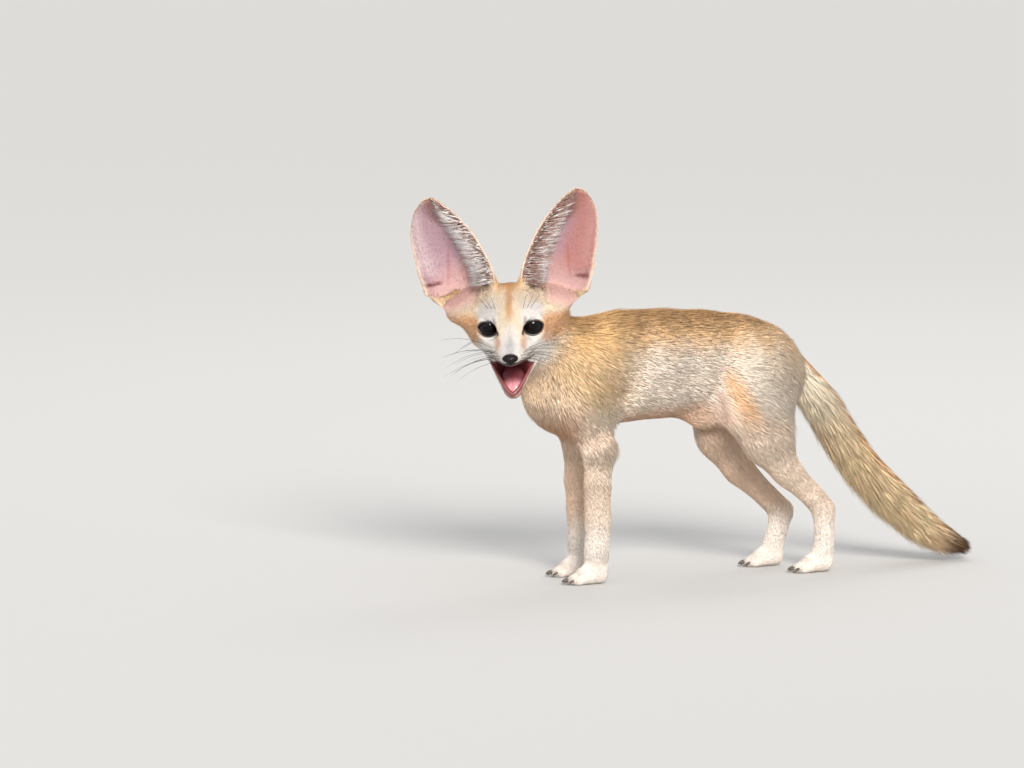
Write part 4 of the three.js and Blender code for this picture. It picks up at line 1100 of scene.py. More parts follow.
@dataclass
class Skin:
    """One surface under the whole coat: the flesh drawn in by the coat's depth, and the tail's core."""

    stance: Stance
    tail: TailLine
    nodes: dict
    voxel: float = 1.46
    swell: float = 0.25
    smoothing: int = 6
    evening: int = 50
    core_sides: int = 32
    core_rings: int = 110
    points: np.ndarray = field(init=False)
    faces: np.ndarray = field(init=False)
    normals: np.ndarray = field(init=False)
    on_tail: np.ndarray = field(init=False)
    where: Places = field(init=False)

    def replaced(self) -> tuple[str, ...]:
        """The CAD nodes that the skin stands for."""
        legs = tuple(f"{kind}_{limb}" for kind in ("leg", "paw") for limb in LIMBS)
        return (*FLESH, *legs, *EAR_NAMES, "tail")

    def build(self) -> bpy.types.Object:
        """Makes the skin.

        Returns:
            The skin's object, in place.
        """
        piece = copy_of(self.replaced()[:-1], self.nodes, "skin")
        points = points_of(piece.data)
        faces = triangles_of(piece.data)
        points += normals_of(points, faces) * self.swell * MM
        place_points(piece.data, points)
        remesh(piece, self.voxel, self.smoothing)
        self._draw_in(piece)
        core = self._core()
        core_count = len(core.data.vertices)
        only(core, piece)
        bpy.ops.object.join()
        mesh = piece.data
        self.points = self.stance.to_work(points_of(mesh))
        self.faces = triangles_of(mesh)
        self.normals = normals_of(self.points, self.faces)
        self.on_tail = np.zeros(len(self.points))
        self.on_tail[-core_count:] = 1
        self.where = Places(self.points, self.normals, self.stance, self.tail, self.on_tail)
        paint(mesh, self._colours())
        return piece

    def _draw_in(self, piece: bpy.types.Object) -> None:
        """Moves each point of the surface in by the depth of the coat over it.

        Args:
            piece: The surface's object.
        """
        points = self.stance.to_work(points_of(piece.data))
        faces = triangles_of(piece.data)
        normals = normals_of(points, faces)
        where = Places(points, normals, self.stance, self.tail, np.zeros(len(points)))
        loose = (1 - 0.7 * where.head_share) * (1 - where.legs() * ramp(points[:, 2], 34, 18)) * ~where.ears()
        points = points - normals * column(coat_depth(where) - (0.5 + 0.4 * where.legs()) * loose)
        points = relaxed(points, faces, loose, self.evening)
        place_points(piece.data, self.stance.to_world(points))
        ease = piece.modifiers.new("ease", "SMOOTH")
        ease.iterations = 2
        only(piece)
        bpy.ops.object.modifier_apply(modifier=ease.name)
        head = moved(self.stance.to_work(points_of(piece.data)), np.linalg.inv(self.stance.head))
        for opening in OPENINGS:
            head = opening.carve(head)
        place_points(piece.data, self.stance.to_world(moved(head, self.stance.head)))

    def _core(self) -> bpy.types.Object:
        """The tail's own thickness under its hair, as a tube with round ends.

        Returns:
            The tube's object.
        """
        sides, rings = self.core_sides, self.core_rings
        share = np.linspace(0, 0.985, rings)
        index = (share * (len(self.tail.points) - 1)).astype(int)
        middle, run = self.tail.points[index], self.tail.tangents[index]
        reach = self.tail.radius(share) * CORE_SHARE
        reach[0] *= 0.5
        angle = np.linspace(0, 2 * math.pi, sides, endpoint=False)
        up = np.stack([-run[:, 2], 0 * run[:, 0], run[:, 0]], axis=1)
        side = np.array([0.0, 1, 0])
        ring = np.cos(angle)[None, :, None] * side + np.sin(angle)[None, :, None] * up[:, None, :]
        points = (middle[:, None, :] + ring * reach[:, None, None]).reshape(-1, 3)
        points = np.vstack([points, middle[:1], middle[-1:]])
        faces = []
        i = np.arange(rings - 1)[:, None] * sides
        j = np.arange(sides)[None, :]
        k = (j + 1) % sides
        faces.append(np.stack([i + j, i + sides + j, i + sides + k], -1).reshape(-1, 3))
        faces.append(np.stack([i + j, i + sides + k, i + k], -1).reshape(-1, 3))
        last = (rings - 1) * sides
        ends = len(points)
        faces.append(np.stack([j[0] * 0 + ends - 2, j[0], k[0]], -1))
        faces.append(np.stack([j[0] * 0 + ends - 1, last + k[0], last + j[0]], -1))
        mesh = np.vstack(faces)
        a, b, c = (points[mesh[:, n]] for n in range(3))
        if np.einsum("ij,ij->i", a, np.cross(b, c)).sum() < 0:
            mesh = mesh[:, ::-1]
        return mesh_object("tail_core", self.stance.to_world(points), mesh)

    def _colours(self) -> np.ndarray:
        """The skin's colours: the coat's a little darker, and the mouth's lining, with painted shade
        darkening it deeper in the mouth.

        Returns:
            One linear colour for each vertex.
        """
        colours = Markings(self.where).base() * 0.85
        mouth = self.where.mouth
        head = self.where.head
        colours = tint(colours, mouth, "#8f3a3c")
        # Painted shade: the mouth's lining turns nearly black deeper in, towards the throat.
        deep = mouth * ramp(head[:, 1], -34, -20)
        return tint(colours, 0.8 * deep, "#3c1013")


def coat_depth(where: Places) -> np.ndarray:
    """How thick the coat is over each place, in millimetres.

    Args:
        where: The places.

    Returns:
        One depth for each place.
    """
    z = where.at[:, 2]
    head = where.head
    depth = np.full(len(z), 3.6)
    depth -= 1.0 * ramp(where.normal[:, 2], -0.3, -0.8)
    legs = where.legs()
    depth = depth * (1 - legs) + legs * np.interp(z, [0, 16, 30, 70, 110], [0.5, 0.8, 1.1, 1.5, 2.8])
    face = np.interp(head[:, 1], [-50, -36, -20, 0, 24], [0.5, 0.8, 1.2, 2.6, 3.6])
    jaw = ramp(head[:, 2], -22, -28)
    face = face * (1 - jaw) + np.minimum(face, 0.9) * jaw
    face *= 0.2 + 0.8 * ramp(where.lid_gap, 1.5, 7)
    depth = depth * (1 - where.head_share) + face * where.head_share
    ear = np.maximum(np.clip((head[:, 2] - 14) / 10, 0, 1), ramp(where.ear_t, 0.02, 0.06)) * where.ears()
    depth = depth * (1 - ear) + 0.15 * ear
    return depth * (1 - 0.9 * where.mouth)


# The coat


@dataclass(frozen=True)
class Tufts:
    """How one stretch of coat is made."""

    part: Part
    count: int
    rings: int = 1


@dataclass
class Coat:
    """Grows the tufts of one part of the body from the skin."""

    skin: Skin
    patch: float = 0.0015
    where: Places = field(init=False)
    owner: np.ndarray = field(init=False)

    def __post_init__(self) -> None:
        """Finds which part each of the skin's triangles belongs to."""
        self.where = self.skin.where
        self.owner = self._owners()

    def _owners(self) -> np.ndarray:
        """The part of each triangle, as its place in the list of parts, or -1 where nothing grows.

        Returns:
            One number for each triangle.
        """
        skin, where = self.skin, self.where
        faces = skin.faces

        def of_face(values: np.ndarray) -> np.ndarray:
            """The mean of a value over each triangle's corners."""
            return values[faces].mean(1)

        head = of_face(where.head_share) > 0.5
        legs = of_face(where.legs()) > 0.5
        tail = of_face(where.on_tail) > 0.5
        left = of_face(skin.points[:, 1]) < 0
        head_left = of_face(where.head[:, 0]) > 0
        front = of_face(skin.points[:, 0]) < -20
        parts = list(Part)
        owner = np.where(left, parts.index(Part.TRUNK_LEFT), parts.index(Part.TRUNK_RIGHT))
        owner[legs & front] = parts.index(Part.LEGS_FRONT)
        owner[legs & ~front] = parts.index(Part.LEGS_HIND)
        owner[head] = np.where(head_left, parts.index(Part.HEAD_LEFT), parts.index(Part.HEAD_RIGHT))[head]
        for i, part in enumerate((Part.EAR_LEFT, Part.EAR_RIGHT)):
            owner[(where.ear_id[faces] == i).all(1)] = parts.index(part)
        owner[tail] = parts.index(Part.TAIL)
        bare = where.mouth[faces].max(1) > 0.5
        bare |= where.lid_gap[faces].min(1) < 0.8
        owner[bare] = -1
        return owner

    def grow(self, tufts: Tufts, share: float) -> bpy.types.Object:
        """Makes one part's coat as one mesh.

        Args:
            tufts: What to grow.
            share: The share of the full number of tufts.

        Returns:
            The coat piece.
        """
        chosen = np.flatnonzero(self.owner == list(Part).index(tufts.part))
        chance = np.random.default_rng(SEED + list(Part).index(tufts.part))
        triangle, weights = self._roots(chosen, int(tufts.count * share), chance)
        corners = self.skin.faces[chosen[triangle]]
        at = np.einsum("nk,nkd->nd", weights, self.skin.points[corners])
        normal = unit(np.einsum("nk,nkd->nd", weights, self.skin.normals[corners]))
        on_tail = self.skin.on_tail[corners].mean(1)
        where = Places(at, normal, self.skin.stance, self.skin.tail, on_tail)
        cut = Cut(where, tufts.part, chance)
        points, faces = cut.shapes(tufts.rings)
        colours = cut.colours(tufts.rings)
        spots = self._spots(chosen, triangle, weights, faces)
        points[:, 2] = np.maximum(points[:, 2], 0.15)
        name = "coat_" + tufts.part.value
        return mesh_object(name, self.skin.stance.to_world(points), faces, colours, spots)

    def _roots(
        self, chosen: np.ndarray, count: int, chance: np.random.Generator
    ) -> tuple[np.ndarray, np.ndarray]:
        """Scatters roots evenly by area.

        Args:
            chosen: The skin's triangles.
            count: How many roots.
            chance: The run of random numbers.

        Returns:
            The triangle of each root, as a place in chosen, and its three weights there.
        """
        a, b, c = (self.skin.points[self.skin.faces[chosen, k]] for k in range(3))
        area = np.linalg.norm(np.cross(b - a, c - a), axis=1)
        area *= self._crowding(chosen)
        total = np.cumsum(area)
        pick = (np.arange(count) + chance.random(count)) / count * total[-1]
        triangle = np.clip(np.searchsorted(total, pick), 0, len(chosen) - 1)
        r, s = np.sqrt(chance.random(count)), chance.random(count)
        return triangle, np.stack([1 - r, r * (1 - s), r * s], axis=1)

    def _crowding(self, chosen: np.ndarray) -> np.ndarray:
        """How much denser than elsewhere the coat is on each triangle.

        Args:
            chosen: The triangles that hair grows on.

        Returns:
            One factor for each triangle.
        """
        where, faces = self.where, self.skin.faces[chosen]
        head = where.head[faces].mean(1)
        muzzle = ramp(head[:, 1], -14, -30) * where.head_share[faces].mean(1)
        dense = 1 + 1.6 * muzzle
        foot = ramp(self.skin.points[faces].mean(1)[:, 2], 40, 14)
        dense += 0.7 * foot * (1 - where.on_tail[faces].mean(1))
        inside = where.cup()[faces].mean(1) > 0.5
        across = where.ear_across[faces].mean(1)
        bare = (across > -0.42) & (across < 0.8)
        return dense * np.where(inside, np.where(bare, 0.14, 0.5), 1.0)

    def _spots(
        self,
        chosen: np.ndarray,
        triangle: np.ndarray,
        weights: np.ndarray,
        faces: np.ndarray,
    ) -> np.ndarray:
        """Lays each tuft on the bake map as a small patch at its root's place on the skin's unwrap.

        Args:
            chosen: The triangles that hair grows on.
            triangle: Each tuft's own triangle.
            weights: Where it stands in that triangle.
            faces: The tufts' faces.

        Returns:
            One map point for each corner of a face.
        """
        unwrapped = self._unwrap(chosen)
        root = np.einsum("nk,nkd->nd", weights, unwrapped[triangle])
        root = np.clip(root, 0.003, 0.997)
        each = int(faces.max() + 1) // len(triangle)
        shape = np.zeros((each, 2))
        shape[0] = (0, -self.patch)
        for ring in range((each - 2) // 3):
            height = self.patch * (-0.3 + 0.8 * ring)
            for k, across in enumerate((-0.8, 0.1, 0.8)):
                shape[1 + 3 * ring + k] = (across * self.patch, height + 0.2 * self.patch * (k == 1))
        shape[-1] = (0, self.patch)
        places = (root[:, None, :] + shape[None]).reshape(-1, 2)
        return places[faces.ravel()]

    def _unwrap(self, chosen: np.ndarray) -> np.ndarray:
        """Unwraps the part's own skin.

        Args:
            chosen: The skin's triangles.

        Returns:
            The places of each triangle's three corners on the map.
        """
        used, faces = np.unique(self.skin.faces[chosen], return_inverse=True)
        faces = faces.reshape(-1, 3)
        sheet = mesh_object("unwrap", self.skin.stance.to_world(self.skin.points[used]), faces)
        only(sheet)
        bpy.ops.object.mode_set(mode="EDIT")
        bpy.ops.mesh.select_all(action="SELECT")
        bpy.ops.uv.smart_project(angle_limit=math.radians(66), island_margin=0.006)
        bpy.ops.object.mode_set(mode="OBJECT")
        flat = np.zeros(len(sheet.data.loops) * 2, dtype=np.float32)
        sheet.data.uv_layers.active.data.foreach_get("uv", flat)
        bpy.data.objects.remove(sheet)
        return flat.reshape(-1, 3, 2).astype(float)


@dataclass
class Cut:
    """The length, width, lie and colour of every tuft in one part of the coat."""

    where: Places
    part: Part
    chance: np.random.Generator
    trunk_length: float = 14.0
    trunk_width: float = 0.46
    trunk_lift: float = 16.0
    fringe_length: float = 14.0
    tail_width: float = 0.62
    ridge: float = 0.3
    count: int = field(init=False)
    length: np.ndarray = field(init=False)
    width: np.ndarray = field(init=False)
    lift: np.ndarray = field(init=False)
    droop: np.ndarray = field(init=False)
    stray: np.ndarray = field(init=False)

    def __post_init__(self) -> None:
        """Draws each tuft's own sizes."""
        self.count = len(self.where.at)
        self.length, self.width, self.lift, self.droop, self.stray = self._sizes()

    def _locks(self) -> tuple[float, float]:
        """How wide the locks are, in millimetres, and how far their tips draw together, a share.

        Returns:
            The width and the share.
        """
        if self.part is Part.TAIL:
            return 9.0, 0.32
        if self.part in (Part.EAR_LEFT, Part.EAR_RIGHT):
            return 3.0, 0.45
        if self.part in (Part.TRUNK_LEFT, Part.TRUNK_RIGHT):
            return 8.0, 0.18
        return 5.0, 0.12

    def _sizes(self) -> tuple[np.ndarray, ...]:
        """Length and width in millimetres, lift and droop in degrees, and stray, a share.

        Returns:
            Five arrays with a value for each tuft.
        """
        where = self.where
        z = where.at[:, 2]
        nz = where.normal[:, 2]
        legs = where.legs()
        length = np.full(self.count, self.trunk_length) - 4.5 * ramp(nz, -0.3, -0.8)
        length = length * (1 - legs) + legs * np.interp(z, [0, 14, 34, 70, 110], [2.0, 2.6, 3.7, 5.2, 8.5])
        width = self.trunk_width - 0.1 * legs - 0.06 * ramp(z, 40, 10)
        lift = np.full(self.count, self.trunk_lift)
        droop = np.full(self.count, 4.0)
        lift -= 6 * legs
        head = where.head
        share = where.head_share
        hair = np.interp(head[:, 1], [-52, -40, -26, -10, 8, 26], [1.2, 1.8, 2.6, 4.2, 6.0, 9.0])
        cheek = ramp(np.abs(head[:, 0]), 18, 30) * ramp(head[:, 2], 8, -8)
        hair += 2.5 * cheek
        hair *= 0.42 + 0.58 * ramp(where.lid_gap, 1, 7)
        length = length * (1 - share) + hair * share
        width = width * (1 - share) + share * (0.3 + 0.2 * ramp(head[:, 1], -24, 20))
        lift = lift * (1 - share) + share * (17 + 12 * cheek)
        droop = droop * (1 - share) + share * (4 + 6 * cheek)
        stray = np.full(self.count, 0.09)
        ears = where.ears()
        inside, fringe = where.cup(), where.fringe()
        across, t = where.ear_across, where.ear_t
        length[ears], width[ears], lift[ears], droop[ears] = 3.4, 0.34, 14, 3
        rim = ears & (np.abs(across) > 0.88)
        length[rim], lift[rim] = 2.8, 16
        ruff = ears & (across > 0.75) & (t < 0.3)
        length[ruff], lift[ruff] = 5, 10
        length[inside], width[inside], lift[inside], droop[inside] = 2.4, 0.26, 20, 8
        streaming = self.fringe_length * ramp(across, -0.3, -0.55)
        streaming = streaming * ramp(t, 1.04, 0.78) * ramp(across, -1.0, -0.8)
        length[fringe] = np.maximum(streaming, 2.5)[fringe]
        width[fringe], lift[fringe], droop[fringe] = 0.5, 5, -3
        tufted = where.ear_base * ramp(across, -0.05, -0.4) * ramp(t, -0.12, 0) * ~ears
        length += 3.0 * tufted
        lift += 12 * tufted
        smooth = where.ear_base * ramp(across, -0.35, -0.05) * ramp(across, 0.95, 0.75) * ~ears
        length *= 1 - 0.8 * smooth
        stray[fringe] = 0.16
        tail = where.on_tail > 0.5
        u = where.tail_u
        top = Markings(where).tail_top()
        reach = np.interp(u, [0, 0.05, 0.16, 0.5, 0.82, 1], [6, 12, 29, 37, 30, 13])
        length[tail] = reach[tail]
        width[tail] = self.tail_width
        lift[tail] = (24 - 8 * top)[tail] * ramp(u, -0.04, 0.18)[tail]
        droop[tail] = (9 - 6 * top)[tail]
        stray[tail] = 0.12
        length *= 0.72 + 0.5 * self.chance.random(self.count)
        width *= 0.8 + 0.4 * self.chance.random(self.count)
        lift *= 0.7 + 0.6 * self.chance.random(self.count)
        return length, width, np.radians(lift), np.radians(droop), stray

    def shapes(self, rings: int) -> tuple[np.ndarray, np.ndarray]:
        """The tufts' vertices and triangles.

        Args:
            rings: How many three-sided rings lie between root and tip.

        Returns:
            The vertices, tuft by tuft, and the triangles.
        """
        where = self.where
        way = Lie(where).ways()
        aside = np.cross(way, where.normal)
        way = unit(way + aside * column(self.stray * self.chance.normal(size=self.count)))
        aside = unit(np.cross(way, where.normal))
        length = column(self.length)
        rise = way * column(np.cos(self.lift)) + where.normal * column(np.sin(self.lift))
        fall = way * column(np.cos(self.droop)) + where.normal * column(np.sin(self.droop))
        root = where.at - where.normal * 0.5 - rise * 0.3
        middle = where.at + rise * length * 0.36
        tip = middle + fall * length * 0.64
        clump, gather = self._locks()
        tip += (self._gathered(tip, clump) - tip) * gather
        line = [root]
        for k in range(rings):
            t = (k + 1) / (rings + 1) * (0.72 if rings == 1 else 0.95)
            line.append(
                root * (1 - t) ** 2 + 2 * t * (1 - t) * middle + t * t * tip if rings > 1 else middle
            )
        line.append(tip)
        rows = [root[:, None]]
        for k in range(rings):
            half = column(self.width) * (0.5 if k == 0 else 0.42)
            top = where.normal * half * self.ridge
            here = line[k + 1]
            rows.append(np.stack([here - aside * half, here + top, here + aside * half], 1))
        rows.append(tip[:, None])
        points = np.concatenate(rows, axis=1)
        each = points.shape[1]
        faces = [(0, 2, 1), (0, 3, 2), (0, 1, 3)]
        for k in range(rings - 1):
            for a, b in ((1, 2), (2, 3), (3, 1)):
                a, b = a + 3 * k, b + 3 * k
                faces += [(a, b, b + 3), (a, b + 3, a + 3)]
        last = 3 * (rings - 1)
        faces += [(last + a, last + b, each - 1) for a, b in ((1, 2), (2, 3), (3, 1))]
        pattern = np.array(faces)
        all_faces = (np.arange(self.count)[:, None, None] * each + pattern[None]).reshape(-1, 3)
        return points.reshape(-1, 3), all_faces

    def _gathered(self, tips: np.ndarray, clump: float) -> np.ndarray:
        """The middle of the tips that start close together, which draws them into locks.

        Args:
            tips: The tips.
            clump: The locks' width in millimetres.

        Returns:
            The middle for each tip.
        """
        cell = np.floor((self.where.at + self.chance.normal(size=tips.shape) * 0.5) / clump).astype(int)
        cell -= cell.min(0)
        size = cell.max(0) + 1
        key = (cell[:, 0] * size[1] + cell[:, 1]) * size[2] + cell[:, 2]
        _, group = np.unique(key, return_inverse=True)
        number = np.bincount(group)
        middle = np.stack([np.bincount(group, tips[:, k]) / number for k in range(3)], axis=1)
        start = np.stack([np.bincount(group, self.where.at[:, k]) / number for k in range(3)], axis=1)
        drift = (middle - start)[group]
        return start[group] + drift + (self.where.at - start[group]) * 0.45

    def colours(self, rings: int) -> np.ndarray:
        """A colour for each vertex: darker at the root as painted shade deep in the coat, and pale or dark at
        the tip.

        Args:
            rings: How many rings a tuft has.

        Returns:
            One colour for each vertex.
        """
        where = self.where
        markings = Markings(where)
        base = markings.base()
        shade = 1 + 0.07 * self.chance.normal(size=self.count)
        base = np.clip(base * column(shade), 0.004, 1)
        short = column(np.clip(where.legs() + where.head_share + 0.7 * where.on_tail, 0, 1))
        # Painted shade deep in the coat: each tuft's root is darker than its middle, less so on short hair.
        root = base * (np.array([0.86, 0.8, 0.74]) * (1 - short) + np.array([0.94, 0.91, 0.88]) * short)
        dark = self.chance.random(self.count) < markings.ticking()
        tip = np.clip(base * 1.08, 0, 0.95)
        tip = np.where(column(dark), linear("#432a15") + 0.12 * base, tip)
        base = np.where(column(dark), base * 0.7, base)
        fringe = where.fringe()
        if fringe.any():
            edge = ramp(where.ear_across, -0.66, -0.82)
            share = 0.08 + 0.36 * (where.ear_id == 0) + 0.4 * edge + 0.5 * ramp(where.ear_t, 0.68, 0.92)
            brown = column(self.chance.random(self.count) < share)
            pale = np.where(brown, linear("#a5847a"), linear("#fcf8f6")) * column(shade)
            # Painted shade deep in the coat: the fringe hairs' roots are darker.
            deep = np.where(brown, linear("#6d4c40"), linear("#a88d85"))
            base[fringe], tip[fringe], root[fringe] = pale[fringe], pale[fringe], deep[fringe]
        middle = base + (tip - base) * 0.15
        rows = [root[:, None]]
        for k in range(rings):
            mix = base if k == 0 else middle
            rows.append(np.repeat(mix[:, None], 3, axis=1))
        rows.append(tip[:, None])
        return np.concatenate(rows, axis=1).reshape(-1, 3)


# Finishes


class Finish:
    """Builds one material from its nodes."""

    def __init__(self, name: str) -> None:
        """Starts an empty material of this name.

        Args:
            name: The material's name.
        """
        self.material = bpy.data.materials.new(name)
        self.material.use_nodes = True
        self.tree = self.material.node_tree
        self.shader = self.tree.nodes["Principled BSDF"]

    def node(self, kind: str, links: dict | None = None, **settings: object) -> bpy.types.Node:
        """Adds a node.

        Args:
            kind: Its type.
            links: What feeds its sockets, by socket name or number.
            **settings: Its settings, or its sockets' values by name with _ for a space.

        Returns:
            The node.
        """
        made = self.tree.nodes.new(kind)
        for key, value in settings.items():
            title = key.replace("_", " ")
            if title in made.inputs:
                made.inputs[title].default_value = value
            else:
                setattr(made, key, value)
        for socket, source in (links or {}).items():
            self.tree.links.new(source, made.inputs[socket])
        return made

    def set(self, links: dict | None = None, **values: object) -> bpy.types.Material:
        """Sets the shader's own sockets and links, and hands over the material.

        Args:
            links: Sockets to link, by the shader's socket.
            **values: Values by the shader's socket.

        Returns:
            The material.
        """
        for key, value in values.items():
            self.shader.inputs[key.replace("_", " ")].default_value = value
        for socket, source in (links or {}).items():
            self.tree.links.new(source, self.shader.inputs[socket])
        return self.material


@dataclass(frozen=True)
class HairFinish:
    """Animal hair: keratin, with a soft sheen and no hard gloss."""

    name: str
    roughness: float = 0.62

    def material(self) -> bpy.types.Material:
        """Colours from the tufts' own attribute, with a fine unevenness over them.

        Returns:
            The material.
        """
        finish = Finish(self.name)
        colour = finish.node("ShaderNodeAttribute", attribute_name=COAT)
        place_of = finish.node("ShaderNodeTexCoord")
        fine = finish.node(
            "ShaderNodeTexNoise", {"Vector": place_of.outputs["Object"]}, Scale=900.0, Detail=2.0
        )
        level = finish.node(
            "ShaderNodeMapRange", {"Value": fine.outputs["Fac"]}, To_Min=0.86, To_Max=1.14
        )
        shade = finish.node(
            "ShaderNodeMix",
            {6: colour.outputs["Color"], 7: level.outputs["Result"]},
            data_type="RGBA",
            blend_type="MULTIPLY",
        )
        shade.inputs[0].default_value = 1.0
        return finish.set(
            {"Base Color": shade.outputs[2]},
            Roughness=self.roughness,
            IOR=1.55,
            Specular_IOR_Level=0.35,
        )


@dataclass(frozen=True)
class SkinFinish:
    """Thin bare skin and the down close to it, with fine grain."""

    name: str = "skin with down"

    def material(self) -> bpy.types.Material:
        """Colours from the skin's attribute, with bump as fine as short hair.

        Returns:
            The material.
        """
        finish = Finish(self.name)
        colour = finish.node("ShaderNodeAttribute", attribute_name=COAT)
        place_of = finish.node("ShaderNodeTexCoord")
        grain = finish.node(
            "ShaderNodeTexNoise", {"Vector": place_of.outputs["Object"]}, Scale=700.0, Detail=3.0
        )
        bump = finish.node("ShaderNodeBump", {"Height": grain.outputs["Fac"]}, Strength=0.5, Distance=0.0006)
        return finish.set(
            {"Base Color": colour.outputs["Color"], "Normal": bump.outputs["Normal"]},
            Roughness=0.6,
            Specular_IOR_Level=0.3,
        )


@dataclass(frozen=True)
class WetFinish:
    """Moist bare flesh or horn: one colour broken by a darker one, over a fine pebble."""

    name: str
    colour: str
    other: str
    pebble: float
    roughness: float
    coat: float
    relief: float = 0.0003
    painted: bool = False
    gloss: float = 0.5

    def material(self) -> bpy.types.Material:
        """Two colours in soft patches, or the piece's own, with a pebbled bump and a wet coat.

        Returns:
            The material.
        """
        finish = Finish(self.name)
        place_of = finish.node("ShaderNodeTexCoord")
        if self.painted:
            colour = finish.node("ShaderNodeAttribute", attribute_name=COAT).outputs["Color"]
        else:
            colour = self._patches(finish, place_of)
        cells = finish.node(
            "ShaderNodeTexVoronoi", {"Vector": place_of.outputs["Object"]}, Scale=1000 / self.pebble
        )
        bump = finish.node(
            "ShaderNodeBump", {"Height": cells.outputs["Distance"]}, Strength=0.6, Distance=self.relief
        )
        return finish.set(
            {"Base Color": colour, "Normal": bump.outputs["Normal"]},
            Roughness=self.roughness,
            Specular_IOR_Level=self.gloss,
            Coat_Weight=self.coat,
            Coat_Roughness=0.12,
        )

    def _patches(self, finish: Finish, place_of: bpy.types.Node) -> bpy.types.NodeSocket:
        """The two colours in soft patches of about 4 mm.

        Args:
            finish: The material that is being built.
            place_of: Its texture coordinates.

        Returns:
            The colour's socket.
        """
        patches = finish.node(
            "ShaderNodeTexNoise", {"Vector": place_of.outputs["Object"]}, Scale=240.0, Detail=3.0
        )
        blend = finish.node("ShaderNodeMix", {0: patches.outputs["Fac"]}, data_type="RGBA")
        blend.inputs[6].default_value = (*linear(self.colour), 1)
        blend.inputs[7].default_value = (*linear(self.other), 1)
        return blend.outputs[2]


@dataclass(frozen=True)
class EyeFinish:
    """A wet eye: a black pupil in a dark brown iris, under a clear glossy cornea."""

    name: str
    middle: tuple[float, float, float]
    gaze: tuple[float, float, float]

    def material(self) -> bpy.types.Material:
        """Rings of colour round the line of sight.

        Returns:
            The material.
        """
        finish = Finish(self.name)
        place_of = finish.node("ShaderNodeTexCoord")
        off = finish.node(
            "ShaderNodeVectorMath", {0: place_of.outputs["Object"]}, operation="SUBTRACT"
        )
        off.inputs[1].default_value = self.middle
        ahead = finish.node("ShaderNodeVectorMath", {0: off.outputs["Vector"]}, operation="DOT_PRODUCT")
        ahead.inputs[1].default_value = self.gaze
        rings = finish.node("ShaderNodeValToRGB")
        span = finish.node(
            "ShaderNodeMapRange", {"Value": ahead.outputs["Value"]}, From_Min=0.0, From_Max=0.0088
        )
        finish.tree.links.new(span.outputs["Result"], rings.inputs["Fac"])
        stops = (
            (0.0, "#080505"),
            (0.55, "#060404"),
            (0.68, "#0c0705"),
            (0.84, "#120a07"),
            (0.9, "#050303"),
            (1.0, "#030202"),
        )
        for i, (at, code) in enumerate(stops):
            stop = rings.color_ramp.elements[i] if i < 2 else rings.color_ramp.elements.new(at)
            stop.position = at
            stop.color = (*linear(code), 1)
        return finish.set(
            {"Base Color": rings.outputs["Color"]},
            Roughness=0.5,
            Specular_IOR_Level=0.0,
            Coat_Weight=0.7,
            Coat_Roughness=0.02,
            Coat_IOR=1.36,
        )


# Head parts


